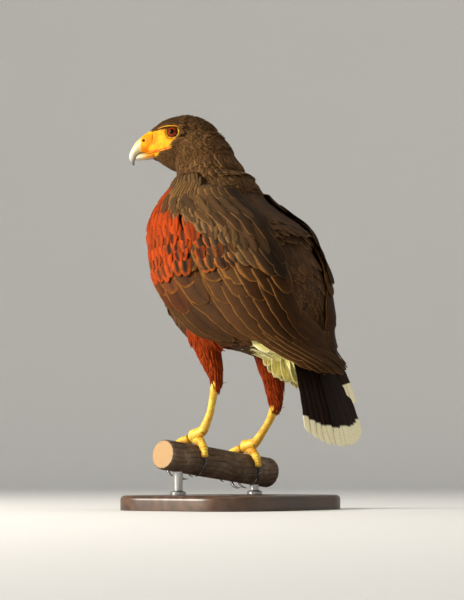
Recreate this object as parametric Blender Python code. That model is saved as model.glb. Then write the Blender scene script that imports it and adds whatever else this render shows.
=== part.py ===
"""Harris's hawk at life size, perched on a short cut branch over a plain display base.

Metres, +Z up. The bird faces -Y and its left side is +X; its head is turned to its left. The origin is the
centre of the base's underside. Lengths below are written in millimetres and turned to metres by MM.

The trunk is described by one envelope: horizontal rounded sections that hold the outer surface of the
folded wings. The torso lies inside it, the wing pads fill the difference, and every vane is laid on it from
its root to its tip. Angles round the envelope run from the breast (0) over the flank (90) to the back (180).
"""

import math
import random

import bmesh
import bpy
from mathutils import Matrix, Vector

MM = 0.001
GAP = 0.3
ROOM = 0.45
SEED = 41

# Display stand and perch
BASE_LENGTH = 236
BASE_WIDTH = 172
BASE_HEIGHT = 16
BASE_ROUNDING = 5
BASE_ROUNDING_STEPS = 2
BASE_CORNER = 46
BASE_CORNER_STEPS = 7
PERCH_RADIUS = 17
PERCH_LENGTH = 172
PERCH_STEPS = 5
PERCH_AROUND = 20
PERCH_CENTRE = Vector((0, -20, 50))
PERCH_AXIS = Vector((0.985, -0.130, 0.115)).normalized()
ROD_RADIUS = 5
ROD_AROUND = 24
ROD_OFFSETS = {"stand_rod_left": 62, "stand_rod_right": -62}
ROD_SINK = 6

# Envelope of the trunk: height, front, back, half width, fullness of the section's corners
ENVELOPE = (
    (125, 85, 150, 46, 2.4),
    (140, 75, 146, 50, 2.4),
    (155, 48, 140, 55, 2.5),
    (168, 14, 132, 61, 2.6),
    (180, -16, 124, 68, 2.7),
    (193, -42, 117, 75, 2.8),
    (205, -55, 113, 79, 2.8),
    (225, -69, 110, 82, 2.8),
    (245, -79, 107, 83, 2.8),
    (265, -86, 101, 83, 2.7),
    (285, -90, 91, 82, 2.6),
    (306, -91, 82, 80, 2.6),
    (322, -90, 66, 75, 2.5),
    (340, -84, 47, 63, 2.4),
    (356, -77, 33, 50, 2.2),
    (372, -75, 20, 42, 2.1),
)

# Torso inside the envelope
TORSO_LEVELS = (178, 186, 196, 210, 230, 252, 275, 298, 318, 334, 348, 360, 372)
TORSO_AROUND = 36
WING_ROOM = 11
BREAST_INSET = 1.5
BACK_INSET = 4.5
RUMP_INSET = 20
VENT = ((170, 12, 100, 42), (163, 34, 97, 30), (158, 52, 92, 16))
VENT_FULLNESS = 2.2

# Head, in its own axes: forward, up and to the bird's left, from the head's centre
HEAD_CENTRE = Vector((8, -61.5, 409))
HEAD_YAW = 35
HEAD_FACE = 37.4
HEAD_SECTIONS = (
    (-40, 9, -22, 15, -6),
    (-34, 17, -27, 20.5, -6),
    (-24, 23.5, -31, 24.5, -6),
    (-12, 27.4, -33, 26.5, -5),
    (0, 28.0, -33, 26.0, -3),
    (10, 26.0, -30, 23.5, 0),
    (18, 22.8, -26.5, 20.0, 1),
    (26, 17.6, -23.5, 15.5, -2),
    (32, 12.6, -22.0, 12.8, -5),
    (HEAD_FACE, 8.0, -21.0, 10.6, -7),
)
HEAD_AROUND = 28
HEAD_FULLNESS = 2.25
# Rounded end behind the first section: share of its size, distance behind it
HEAD_END = ((0.35, 4.2), (0.72, 2.4))
EYE_PLACE = (8.2, 6.6, 15.2)
EYE_RADIUS = 8.2
EYE_AROUND = 18
EYE_RINGS = 10
EYE_AIM = (0.34, 0.02, 0.94)
LID_MAJOR = 7.6
LID_MINOR = 1.5
LID_DEPTH = 5.4
LID_AROUND = 20
LID_SECTION = 6
BROW_PLACE = (11, 14.0, 18.2)
BROW_SIZE = (13.5, 3.0, 4.6)
BROW_TURN = 24
MOUTH_LINE = ((40, -13.9), (32, -13.4), (22, -12.2), (13, -10.4), (9, -9.6))
MOUTH_RADIUS = 0.8
MOUTH_DEEPEST = 0.98
MOUTH_AROUND = 6
CERE_SECTIONS = (
    (37.7, 7.8, -13.3, 10.3),
    (40, 6.4, -13.5, 10.0),
    (43, 4.2, -13.9, 9.5),
    (45, 2.4, -14.2, 9.1),
)
NOSTRIL_PLACE = (42.1, -1.2, 8.6)
NOSTRIL_SIZE = (1.3, 1.3, 1.8)
# Upper bill: culmen point, cutting-edge point, half width, in forward and up
UPPER_BILL = (
    ((45.3, 2.2), (45.3, -14.2), 9.0),
    ((49.5, -1.6), (47.5, -15.0), 7.9),
    ((53.4, -6.2), (49.6, -16.4), 6.6),
    ((56.8, -11.0), (51.2, -18.4), 5.2),
    ((58.9, -16.4), (52.3, -21.6), 3.8),
    ((58.6, -21.8), (52.9, -24.6), 2.6),
    ((56.4, -26.2), (53.0, -27.2), 1.3),
    ((54.0, -28.3), (53.3, -28.6), 0.4),
)
LOWER_BILL = (
    ((37.7, -14.4), (37.7, -21.4), 8.8),
    ((42.5, -14.8), (42.5, -21.9), 7.6),
    ((46.8, -15.4), (47.2, -22.2), 6.0),
    ((49.8, -17.2), (50.6, -22.2), 4.0),
    ((51.6, -20.0), (52.0, -21.8), 1.4),
)
BILL_AROUND = 16

# Neck: height, centre X and Y, half width, half depth
NECK_SECTIONS = (
    (372.3, 0, -27.5, 42, 47.2),
    (381, 0.5, -29.5, 38.5, 43),
    (392, 1.5, -34, 34.5, 39.5),
    (404, 3.5, -41, 30, 34),
    (416, 6, -48, 23, 24),
)
NECK_AROUND = 28
LIMB_FULLNESS = 2.1

# Legs: centre, half width, half depth, from the flank down
THIGHS = {
    "left": (
        ((44, -10, 206), 20, 24),
        ((46, -6, 192), 19, 22),
        ((46, -1, 178), 17, 18),
        ((45, 4, 162), 14, 14),
        ((44, 8, 148), 10, 10.5),
        ((43.5, 9, 137), 7, 7.5),
    ),
    "right": (
        ((-46, 6, 206), 20, 24),
        ((-46, 12, 186), 19, 22),
        ((-45, 19, 165), 17, 18),
        ((-44, 25, 144), 14, 14),
        ((-42.5, 28, 126), 10, 11),
        ((-42, 28, 112), 7, 7.5),
    ),
}
TARSI = {
    "left": (
        ((43.5, 9, 136.6), 5.6, 5.0),
        ((43, 5, 120), 4.4, 4.0),
        ((42, 0, 103), 4.3, 4.0),
        ((41, -9, 86), 5.4, 5.2),
    ),
    "right": (
        ((-42, 28, 111.6), 5.6, 5.0),
        ((-42, 22, 99), 4.4, 4.0),
        ((-42, 13, 86), 4.4, 4.0),
        ((-42, 2, 73), 5.4, 5.2),
    ),
}
THIGH_AROUND = 24
TARSUS_AROUND = 14
FOOT_ALONG = {"left": 41, "right": -42.5}
# Foot pad: turn round the perch and height over it; half sizes at the ankle, between and at the pad
FOOT_TURN = 84
FOOT_HEIGHT = 6.7
FOOT_SIZES = ((5.4, 5.2), (6.4, 6.6), (7.6, 8.2))
FOOT_MIDDLE = 0.6
# Toes: turn round the perch at root and tip, spread along it, root and tip radius, arc of the claw
TOES = {
    "inner": (58, -8, 15, 5.0, 3.4, 62),
    "middle": (60, -34, 1, 4.6, 3.0, 52),
    "outer": (62, -12, -15, 4.2, 2.8, 44),
    "hind": (116, 176, 2, 5.0, 3.4, 66),
}
TOE_RINGS = 6
TOE_AROUND = 8
TOE_START = 0.4
TOE_SEAT = 0.7
TOE_NARROW = 0.25
KNUCKLE_HEIGHT = 0.5
KNUCKLES = 5
FOOT_AROUND = 12
CLAW_RINGS = 6
CLAW_AROUND = 6
CLAW_SINK = 5
CLAW_SHARE = 0.66
CLAW_TIP = 0.25
CLAW_LIFT = 2.4
CLAW_SEAT = 0.9
CLAW_SPREAD = 0.12
CLAW_TAPER = 0.8

# Vanes: how a vane's half width runs from root to tip, as (share of its length, share of its width)
FLIGHT_STEPS = ((0.0, 0.36), (0.12, 0.4), (0.32, 1.0), (0.62, 1.0), (0.88, 0.84), (1.0, 0.26))
COVERT_STEPS = ((0.0, 0.36), (0.14, 0.4), (0.38, 1.0), (0.72, 1.0), (0.92, 0.66), (1.0, 0.24))
TAIL_STEPS = ((0.0, 0.8), (0.35, 1.0), (0.7, 1.0), (0.94, 0.94), (1.0, 0.5))
VANE_THICKNESS = 0.6
VANE_LEVEL = 2.4
VANE_RISE = 0.12
VANE_OVERLAP = 0.62
STEEPEST_TILT = 0.2

# Rows of a wing: number, root and tip from/to as (angle, height), depth at both, least half width
WING_ROWS = {
    "primaries": (5, (100, 214), (146, 220), (208, 140), (216, 156), -7.0, -5.2, 7.5),
    "secondaries": (8, (60, 262), (138, 276), (80, 179), (168, 181), -6.5, -0.6, 0),
    "greater_coverts": (7, (56, 286), (136, 296), (64, 214), (160, 232), -6.5, 2.4, 0),
    "median_coverts": (6, (56, 308), (120, 316), (62, 250), (138, 262), -6.5, 4.6, 0),
    "scapulars": (5, (100, 328), (156, 314), (114, 296), (172, 244), -6.5, 6.4, 0),
}
RIGHT_PRIMARY_TIPS = [(152, 186), (171, 171)]
RIGHT_PRIMARY_LIFT = 0.8
TIP_UNEVEN = 1.5
FLIGHT_ROWS = ("primaries", "secondaries")
PAD_ANGLES = (49, 164)
PAD_HEIGHTS = (206, 336)
PAD_COLUMNS = 10
PAD_ROWS = 7
PAD_SKIN = 4.0
PAD_EDGE = 1.6
PAD_SINK = 2.0

# Tail
TAIL_ROOT = Vector((0, 93, 206))
TAIL_TIP = Vector((-2, 142, 68))
TAIL_FEATHERS = 12
TAIL_FAN = 50
TAIL_ROOT_SPREAD = 22
TAIL_ROUNDING = 15
TAIL_BOW = 3.0
TAIL_START = 34
TAIL_LEVEL = 1.2
TAIL_OVERLAP = 0.9
TAIL_AROUND = 20
# Tail core: place along the tail, half width, upper and lower side
TAIL_CORE = ((0, 25, 9, -46), (20, 26, 8, -48), (42, 23, 6, -41), (58, 19, 4, -27), (76, 14, 1.5, -9))
CORE_FULLNESS = 2.3
# Tail coverts: number, start, end, sense, spread at root and tip, half width, height at root and tip
TAIL_COVERTS = {
    "under_front": (5, 30, 60, -1, 17, 21, 7, -38, -50),
    "under_middle": (5, 36, 78, -1, 15, 20, 7, -30, -33),
    "under_rear": (5, 50, 97, -1, 12, 18, 7, -19, -13),
    "upper": (5, 14, 66, 1, 14, 20, 8, 3.0, 8.0),
}
COVERT_LEVEL = 1.4
COVERT_RISE = 0.6
COVERT_UNEVEN = 2
CREASE_ANGLE = 38

# Materials: colour, roughness, metallic
FINISHES = {
    "plumage_dark": ((0.075, 0.045, 0.022), 0.75, 0.0),
    "plumage_wing": ((0.12, 0.06, 0.03), 0.7, 0.0),
    "plumage_rufous": ((0.42, 0.11, 0.03), 0.75, 0.0),
    "plumage_tail": ((0.05, 0.028, 0.016), 0.7, 0.0),
    "skin_yellow": ((0.85, 0.5, 0.06), 0.45, 0.0),
    "horn_pale": ((0.6, 0.52, 0.36), 0.3, 0.0),
    "horn_dark": ((0.03, 0.025, 0.02), 0.3, 0.0),
    "eye": ((0.16, 0.05, 0.015), 0.08, 0.0),
    "bark": ((0.16, 0.1, 0.06), 0.85, 0.0),
    "base_wood": ((0.2, 0.11, 0.055), 0.4, 0.0),
    "steel": ((0.55, 0.55, 0.56), 0.3, 1.0),
}


def smooth(low, high, value):
    """Ease from 0 at low to 1 at high."""
    share = min(max((value - low) / (high - low), 0), 1)
    return share * share * (3 - 2 * share)


def between(rows, at):
    """Read a row of numbers at a place along stations, on a smooth curve through them."""
    rows = sorted(rows)
    at = min(max(at, rows[0][0]), rows[-1][0])
    i = max(k for k in range(len(rows) - 1) if rows[k][0] <= at or k == 0)
    here, there = rows[i], rows[i + 1]
    before = rows[max(i - 1, 0)]
    after = rows[min(i + 2, len(rows) - 1)]
    step = there[0] - here[0]
    t = (at - here[0]) / step
    values = []
    for k in range(1, len(here)):
        slope_in = (there[k] - before[k]) / (there[0] - before[0]) * step
        slope_out = (after[k] - here[k]) / (after[0] - here[0]) * step
        values.append(
            here[k] * (2 * t**3 - 3 * t**2 + 1)
            + there[k] * (3 * t**2 - 2 * t**3)
            + slope_in * (t**3 - 2 * t**2 + t)
            + slope_out * (t**3 - t**2)
        )
    return values


def rounded(angle, wide, deep, fullness):
    """Point of a rounded section, from the front (angle 0) towards +X, as (x, y)."""
    s = math.sin(math.radians(angle))
    c = math.cos(math.radians(angle))
    power = 2 / fullness
    return (
        wide * math.copysign(abs(s) ** power, s),
        -deep * math.copysign(abs(c) ** power, c),
    )


def envelope_point(angle, height):
    """Point of the trunk's envelope."""
    front, back, wide, fullness = between(ENVELOPE, height)
    x, y = rounded(angle, wide, (back - front) / 2, fullness)
    return Vector((x, y + (front + back) / 2, height))


def envelope_normal(angle, height):
    """Outward normal of the envelope, from its neighbours."""
    across = envelope_point(angle + 2, height) - envelope_point(angle - 2, height)
    low = max(height - 3, ENVELOPE[0][0])
    high = min(height + 3, ENVELOPE[-1][0])
    along = envelope_point(angle, high) - envelope_point(angle, low)
    return across.cross(along).normalized()


def envelope_radius(height):
    """Mean radius of the envelope at a height."""
    front, back, wide, fullness = between(ENVELOPE, height)
    return (wide + (back - front) / 2) / 2


def on_envelope(angle, height, offset):
    """Point at a signed distance outside the envelope."""
    return envelope_point(angle, height) + envelope_normal(angle, height) * offset


def torso_inset(angle, height):
    """How far the torso's surface lies inside the envelope."""
    turn = abs((angle + 180) % 360 - 180)
    room = smooth(34, 54, turn) * (1 - smooth(158, 178, turn))
    back = RUMP_INSET + (BACK_INSET - RUMP_INSET) * smooth(195, 240, height)
    plain = BREAST_INSET + (back - BREAST_INSET) * smooth(60, 120, turn)
    under_wing = room * (1 - smooth(330, 354, height))
    return (plain + (WING_ROOM - plain) * under_wing) * (1 - 0.8 * smooth(340, 368, height))


def mesh_object(name, points, faces):
    """Closed mesh object from points in millimetres, its faces turned outwards."""
    mesh = bpy.data.meshes.new(name)
    mesh.from_pydata([Vector(p) * MM for p in points], [], faces)
    body = bmesh.new()
    body.from_mesh(mesh)
    bmesh.ops.triangulate(body, faces=body.faces[:], quad_method="FIXED")
    bmesh.ops.recalc_face_normals(body, faces=body.faces[:])
    body.to_mesh(mesh)
    body.free()
    made = bpy.data.objects.new(name, mesh)
    bpy.context.scene.collection.objects.link(made)
    return made


def loft(name, rings):
    """Skin between rings of equal count, with a fan over each end."""
    count = len(rings[0])
    points = [p for ring in rings for p in ring]
    faces = []
    for r in range(len(rings) - 1):
        for k in range(count):
            a = r * count + k
            b = r * count + (k + 1) % count
            faces.append((a, b, b + count, a + count))
    for first in (0, (len(rings) - 1) * count):
        ring = rings[0] if first == 0 else rings[-1]
        centre = sum((Vector(p) for p in ring), Vector()) / count
        points.append(centre)
        faces += [(first + k, first + (k + 1) % count, len(points) - 1) for k in range(count)]
    return mesh_object(name, points, faces)


def tube(name, path, radii, around):
    """Round limb along a path; radii are (side, front) half sizes at each point."""
    rings = []
    side = None
    for i, point in enumerate(path):
        ahead = path[min(i + 1, len(path) - 1)] - path[max(i - 1, 0)]
        ahead.normalize()
        if side is None:
            side = ahead.orthogonal().normalized() if abs(ahead.x) > 0.9 else Vector((1, 0, 0))
        side = (side - ahead * side.dot(ahead)).normalized()
        front = ahead.cross(side)
        rings.append(
            [
                point
                + side * (radii[i][0] * math.cos(math.tau * k / around))
                + front * (radii[i][1] * math.sin(math.tau * k / around))
                for k in range(around)
            ]
        )
    return loft(name, rings)


def vane(name, spine, normals, widths, tilts):
    """Feather blade between two edges that follow its spine, split alike on both faces."""
    top, bottom = [], []
    for i, point in enumerate(spine):
        ahead = spine[min(i + 1, len(spine) - 1)] - spine[max(i - 1, 0)]
        ahead.normalize()
        normal = (normals[i] - ahead * normals[i].dot(ahead)).normalized()
        side = ahead.cross(normal)
        for q in (-1, 1):
            edge = point + side * (q * widths[i]) - normal * (tilts[i] * q * widths[i])
            top.append(edge)
            bottom.append(edge - normal * VANE_THICKNESS)
    under = len(top)
    last = len(spine) - 1
    faces = []
    for a in range(0, 2 * last, 2):
        b = a + under
        faces += [(a, a + 1, a + 3), (a, a + 3, a + 2), (b, b + 3, b + 1), (b, b + 2, b + 3)]
        for k in (0, 1):
            faces += [(a + k, a + k + 2, b + k + 2), (a + k, b + k + 2, b + k)]
    for a in (0, 2 * last):
        faces += [(a, a + 1, under + a + 1), (a, under + a + 1, under + a)]
    return mesh_object(name, top + bottom, faces)


def ellipsoid(name, centre, axes, sizes, segments, rings):
    """Closed ellipsoid with its half sizes along three given axes."""
    body = bmesh.new()
    bmesh.ops.create_uvsphere(body, u_segments=segments, v_segments=rings, radius=1)
    mesh = bpy.data.meshes.new(name)
    turn = Matrix([axis * size for axis, size in zip(axes, sizes)]).transposed()
    for point in body.verts:
        point.co = (Vector(centre) + turn @ point.co) * MM
    bmesh.ops.triangulate(body, faces=body.faces[:])
    bmesh.ops.recalc_face_normals(body, faces=body.faces[:])
    body.to_mesh(mesh)
    body.free()
    made = bpy.data.objects.new(name, mesh)
    bpy.context.scene.collection.objects.link(made)
    return made


def ring_lid(name, centre, axis, major, minor):
    """Lid ring round an eye, a torus about the eye's axis."""
    bpy.ops.mesh.primitive_torus_add(
        major_radius=major * MM,
        minor_radius=minor * MM,
        major_segments=LID_AROUND,
        minor_segments=LID_SECTION,
    )
    made = bpy.context.object
    made.name = name
    turn = Vector((0, 0, 1)).rotation_difference(axis).to_matrix().to_4x4()
    made.data.transform(Matrix.Translation(Vector(centre) * MM) @ turn)
    return made


def largest_body(made):
    """Keep the largest closed surface of a fused mesh."""
    body = bmesh.new()
    body.from_mesh(made.data)
    body.verts.ensure_lookup_table()
    seen = set()
    shells = []
    for start in body.verts:
        if start.index in seen:
            continue
        shell = []
        queue = [start]
        seen.add(start.index)
        while queue:
            point = queue.pop()
            shell.append(point)
            for edge in point.link_edges:
                other = edge.other_vert(point)
                if other.index not in seen:
                    seen.add(other.index)
                    queue.append(other)
        shells.append(shell)
    shells.sort(key=len, reverse=True)
    for shell in shells[1:]:
        bmesh.ops.delete(body, geom=shell, context="VERTS")
    bmesh.ops.triangulate(body, faces=body.faces[:])
    body.to_mesh(made.data)
    body.free()


def combine(made, others, operation):
    """Join or cut an object by a group of closed ones, apply it and remove the group."""
    group = bpy.data.collections.new(made.name + "_tools")
    for other in others:
        for owner in list(other.users_collection):
            owner.objects.unlink(other)
        group.objects.link(other)
    bpy.context.scene.collection.children.link(group)
    step = made.modifiers.new("combine", "BOOLEAN")
    step.operation = operation
    step.solver = "MANIFOLD"
    step.operand_type = "COLLECTION"
    step.collection = group
    graph = bpy.context.evaluated_depsgraph_get()
    result = bpy.data.meshes.new_from_object(made.evaluated_get(graph))
    made.modifiers.clear()
    made.data = result
    for other in others:
        bpy.data.objects.remove(other)
    bpy.data.collections.remove(group)
    largest_body(made)
    return made


def grown(made):
    """Let an object's surface out by the room that its neighbours keep from it."""
    body = bmesh.new()
    body.from_mesh(made.data)
    body.normal_update()
    for point, outward in [(v, v.normal.copy()) for v in body.verts]:
        point.co += outward * (ROOM * MM)
    body.to_mesh(made.data)
    body.free()
    return made


def head_point(forward, up, left=0.0):
    """Place in the head's own axes."""
    return HEAD_CENTRE + HEAD_FORWARD * forward + HEAD_UP * up + HEAD_LEFT * left


HEAD_TURN = Matrix.Rotation(math.radians(HEAD_YAW), 3, "Z")
HEAD_FORWARD = HEAD_TURN @ Vector((0, -1, 0))
HEAD_LEFT = HEAD_TURN @ Vector((1, 0, 0))
HEAD_UP = Vector((0, 0, 1))


def head_form(name):
    """Skull with its feathered crown, cheeks and chin, ending in a flat face behind the cere."""
    rings = []
    first = HEAD_SECTIONS[0]
    for shrink, back in HEAD_END:
        rings.append(head_ring(first[0] - back, first[1:], shrink))
    for section in HEAD_SECTIONS:
        rings.append(head_ring(section[0], section[1:], 1.0))
    return loft(name, rings)


def head_ring(forward, sizes, shrink):
    """One section of the head, fuller below the widest level than above it."""
    top, bottom, wide, level = sizes
    ring = []
    for k in range(HEAD_AROUND):
        angle = 360 * k / HEAD_AROUND
        s = math.sin(math.radians(angle))
        c = math.cos(math.radians(angle))
        power = 2 / HEAD_FULLNESS
        reach = top - level if c > 0 else level - bottom
        side = wide * math.copysign(abs(s) ** power, s)
        lift = reach * math.copysign(abs(c) ** power, c)
        ring.append(head_point(forward, level + lift * shrink, side * shrink))
    return ring


def eye_place(side):
    """Centre and outward axis of an eye; side is 1 for the bird's left."""
    forward, up, left = EYE_PLACE
    aim = HEAD_FORWARD * EYE_AIM[0] + HEAD_UP * EYE_AIM[1] + HEAD_LEFT * (EYE_AIM[2] * side)
    return head_point(forward, up, left * side), aim.normalized()


def eyeball(name, side, grow=0.0):
    """Eyeball, or its socket when grown."""
    centre, aim = eye_place(side)
    across = aim.orthogonal().normalized()
    axes = (across, aim.cross(across), aim)
    radius = EYE_RADIUS + grow
    return ellipsoid(name, centre, axes, (radius, radius, radius), EYE_AROUND, EYE_RINGS)


def mouth_groove(name, side):
    """Cutter along one side's mouth line, laid on the head's own surface."""
    path = []
    for forward, up in MOUTH_LINE:
        bottom, wide, level = between(HEAD_SECTIONS, min(forward, HEAD_FACE))[1:]
        share = min(abs((up - level) / (level - bottom)), MOUTH_DEEPEST)
        surface = wide * (1 - share**HEAD_FULLNESS) ** (1 / HEAD_FULLNESS)
        path.append(head_point(forward, up, surface * side))
    return tube(name, path, [(MOUTH_RADIUS, MOUTH_RADIUS)] * len(path), MOUTH_AROUND)


def make_head():
    """Head with brow ridges, lids, sockets and mouth line."""
    head = head_form("head")
    added = []
    for side in (1, -1):
        centre, aim = eye_place(side)
        added.append(ring_lid("lid", centre + aim * LID_DEPTH, aim, LID_MAJOR, LID_MINOR))
        forward, up, left = BROW_PLACE
        tilt = Matrix.Rotation(math.radians(-BROW_TURN * side), 3, "Z")
        axes = (tilt @ HEAD_FORWARD, HEAD_UP, tilt @ HEAD_LEFT)
        added.append(ellipsoid("brow", head_point(forward, up, left * side), axes, BROW_SIZE, 12, 6))
    combine(head, added, "UNION")
    cutters = [eyeball("socket", side, GAP) for side in (1, -1)]
    cutters += [mouth_groove("mouth", side) for side in (1, -1)]
    combine(head, cutters, "DIFFERENCE")
    return [head] + [eyeball(name, side) for name, side in (("eye_left", 1), ("eye_right", -1))]


def bill_loft(name, stations):
    """Bill half: an ellipse between each upper point and lower point."""
    rings = []
    for (up_f, up_h), (low_f, low_h), wide in stations:
        middle = head_point((up_f + low_f) / 2, (up_h + low_h) / 2)
        half = head_point(up_f, up_h) - middle
        ring = []
        for k in range(BILL_AROUND):
            angle = math.tau * k / BILL_AROUND
            ring.append(middle + half * math.cos(angle) + HEAD_LEFT * (wide * math.sin(angle)))
        rings.append(ring)
    return loft(name, rings)


def make_bill():
    """Cere with its nostrils, hooked upper bill and lower bill."""
    cere = bill_loft("cere", [((f, top), (f, low), wide) for f, top, low, wide in CERE_SECTIONS])
    nostrils = []
    for side in (1, -1):
        forward, up, left = NOSTRIL_PLACE
        axes = (HEAD_FORWARD, HEAD_UP, HEAD_LEFT)
        centre = head_point(forward, up, left * side)
        nostrils.append(ellipsoid("nostril", centre, axes, NOSTRIL_SIZE, 12, 8))
    combine(cere, nostrils, "DIFFERENCE")
    return [cere, bill_loft("upper_bill", UPPER_BILL), bill_loft("lower_bill", LOWER_BILL)]


def torso_form(name):
    """Trunk under the wings, closed below by the vent."""
    rings = []
    for height, front, back, wide in reversed(VENT):
        ring = []
        for k in range(TORSO_AROUND):
            x, y = rounded(360 * k / TORSO_AROUND, wide, (back - front) / 2, VENT_FULLNESS)
            ring.append(Vector((x, y + (front + back) / 2, height)))
        rings.append(ring)
    for height in TORSO_LEVELS:
        last = height == TORSO_LEVELS[-1]
        ring = []
        for k in range(TORSO_AROUND):
            angle = 360 * k / TORSO_AROUND
            ring.append(on_envelope(angle, height, -torso_inset(angle, height)))
        if last:
            for point in ring:
                point.z = height
        rings.append(ring)
    return loft(name, rings)


def make_neck():
    """Neck from the shoulders up to the skull."""
    rings = []
    for height, x, y, wide, deep in NECK_SECTIONS:
        ring = []
        for k in range(NECK_AROUND):
            dx, dy = rounded(360 * k / NECK_AROUND, wide, deep, LIMB_FULLNESS)
            ring.append(Vector((x + dx, y + dy, height)))
        rings.append(ring)
    neck = loft("neck", rings)
    return combine(neck, [grown(head_form("head_room"))], "DIFFERENCE")


def wing_pad(name, side):
    """Arm and hand under the feathers, filling the room between torso and vanes."""
    columns, rows = PAD_COLUMNS, PAD_ROWS
    outer, inner = [], []
    for r in range(rows + 1):
        height = PAD_HEIGHTS[0] + (PAD_HEIGHTS[1] - PAD_HEIGHTS[0]) * r / rows
        for c in range(columns + 1):
            angle = PAD_ANGLES[0] + (PAD_ANGLES[1] - PAD_ANGLES[0]) * c / columns
            inset = torso_inset(angle, height)
            rim = PAD_EDGE - inset
            inside = 0 < r < rows and 0 < c < columns
            top = max(-PAD_SKIN, rim) if inside else rim
            for points, offset in ((outer, top), (inner, -PAD_SINK - inset)):
                point = on_envelope(angle, height, offset)
                point.x *= side
                points.append(point)
    wide = columns + 1
    under = len(outer)
    faces = []
    for r in range(rows):
        for c in range(columns):
            a = r * wide + c
            faces.append((a, a + 1, a + wide + 1, a + wide))
            faces.append((under + a, under + a + wide, under + a + wide + 1, under + a + 1))
    border = list(range(columns))
    border += [r * wide + columns for r in range(rows)]
    border += [rows * wide + c for c in range(columns, 0, -1)]
    border += [r * wide for r in range(rows, 0, -1)]
    for k, a in enumerate(border):
        b = border[(k + 1) % len(border)]
        faces.append((a, b, under + b, under + a))
    return mesh_object(name, outer + inner, faces)


def along_row(first, last, share):
    """Place between the two ends of a row."""
    return [a + (b - a) * share for a, b in zip(first, last)]


def row_spacing(ends, count, share, along):
    """Distance between neighbouring vanes of a row, square to their run, on the unrolled envelope."""
    root_first, root_last, tip_first, tip_last = ends

    def flat_place(at, length):
        angle, height = along_row(
            along_row(root_first, root_last, at),
            along_row(tip_first, tip_last, at),
            length,
        )
        return Vector((math.radians(angle) * envelope_radius(height), height))

    here = flat_place(share, along)
    beside = flat_place(share + 1 / (count - 1), along) - here
    ahead = (flat_place(share, along + 0.05) - here).normalized()
    return abs(beside.x * ahead.y - beside.y * ahead.x)


def wing_row(row, side, chance):
    """Vanes of one tier from root to tip over the envelope, each laid over the one in front of it."""
    count, *ends, depth, lift, least_width = WING_ROWS[row]
    steps = FLIGHT_STEPS if row in FLIGHT_ROWS else COVERT_STEPS
    if row == "primaries" and side < 0:
        ends[2:] = RIGHT_PRIMARY_TIPS
        lift = RIGHT_PRIMARY_LIFT
    vanes = []
    for i in range(count):
        share = i / (count - 1)
        root = along_row(ends[0], ends[1], share)
        tip = along_row(ends[2], ends[3], share)
        tip[1] += chance.uniform(-TIP_UNEVEN, TIP_UNEVEN)
        spine, normals, widths, tilts = [], [], [], []
        for along, width_share in steps:
            place = along_row(root, tip, along)
            apart = row_spacing(ends, count, share, along)
            tilt = min(STEEPEST_TILT, VANE_LEVEL / apart)
            level = (i - count + 1) * (VANE_LEVEL - tilt * apart)
            point = on_envelope(*place, depth + (lift - depth) * along**VANE_RISE + level)
            normal = envelope_normal(*place)
            point.x *= side
            normal.x *= side
            spine.append(point)
            normals.append(normal)
            widths.append(max(VANE_OVERLAP * apart, least_width) * width_share)
            tilts.append(tilt * -side)
        vanes.append(vane(row, spine, normals, widths, tilts))
    return vanes


def make_wing(name, side):
    """Folded wing: pad and tiers of vanes fused into one solid."""
    chance = random.Random(SEED + side)
    pad = wing_pad(name, side)
    vanes = []
    for row in WING_ROWS:
        vanes += wing_row(row, side, chance)
    combine(pad, vanes, "UNION")
    return combine(pad, [grown(torso_form("torso_room"))], "DIFFERENCE")


def tail_frame():
    """Along, across and towards the back of the tail."""
    along = (TAIL_TIP - TAIL_ROOT).normalized()
    across = Vector((1, 0, 0))
    across = (across - along * across.dot(along)).normalized()
    return along, across, across.cross(along)


def make_tail():
    """Tail core with twelve fanned feathers and the coverts over and under its root."""
    along, across, back = tail_frame()
    length = (TAIL_TIP - TAIL_ROOT).length
    rings = []
    for place, wide, top, low in TAIL_CORE:
        ring = []
        for k in range(TAIL_AROUND):
            x, y = rounded(360 * k / TAIL_AROUND, wide, (top - low) / 2, CORE_FULLNESS)
            ring.append(TAIL_ROOT + along * place + across * x + back * (y + (top + low) / 2))
        rings.append(ring)
    tail = loft("tail", rings)
    pieces = []
    chance = random.Random(SEED)
    middle = (TAIL_FEATHERS - 1) / 2
    for i in range(TAIL_FEATHERS):
        place = (i - middle) / middle
        level = TAIL_LEVEL * (middle / 2 - abs(i - middle + 0.5))
        reach = length - TAIL_ROUNDING * place * place + chance.uniform(-TIP_UNEVEN, TIP_UNEVEN)
        spine, widths = [], []
        for share, width_share in TAIL_STEPS:
            distance = TAIL_START + (reach - TAIL_START) * share
            fan = TAIL_ROOT_SPREAD + (TAIL_FAN - TAIL_ROOT_SPREAD) * share
            bow = TAIL_BOW * math.sin(math.pi * share)
            spine.append(TAIL_ROOT + along * distance + across * (place * fan) + back * (level + bow))
            widths.append(TAIL_OVERLAP * fan / middle * width_share)
        pieces.append(vane("rectrix", spine, [back] * len(spine), widths, [0] * len(spine)))
    for count, start, end, sense, spread_root, spread_tip, half_width, low, high in TAIL_COVERTS.values():
        middle = (count - 1) / 2
        for i in range(count):
            place = (i - middle) / middle
            reach = end - TAIL_ROUNDING * place * place + chance.uniform(-COVERT_UNEVEN, COVERT_UNEVEN)
            spine = []
            for share, _ in COVERT_STEPS:
                distance = start + (reach - start) * share
                fan = spread_root + (spread_tip - spread_root) * share
                height = low + (high - low) * share**COVERT_RISE
                height -= sense * abs(i - middle + 0.5) * COVERT_LEVEL
                spine.append(TAIL_ROOT + along * distance + across * (place * fan) + back * height)
            widths = [half_width * width_share for _, width_share in COVERT_STEPS]
            pieces.append(vane("covert", spine, [back * sense] * len(spine), widths, [0] * len(spine)))
    combine(tail, pieces, "UNION")
    return combine(tail, [grown(torso_form("torso_room"))], "DIFFERENCE")


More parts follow.
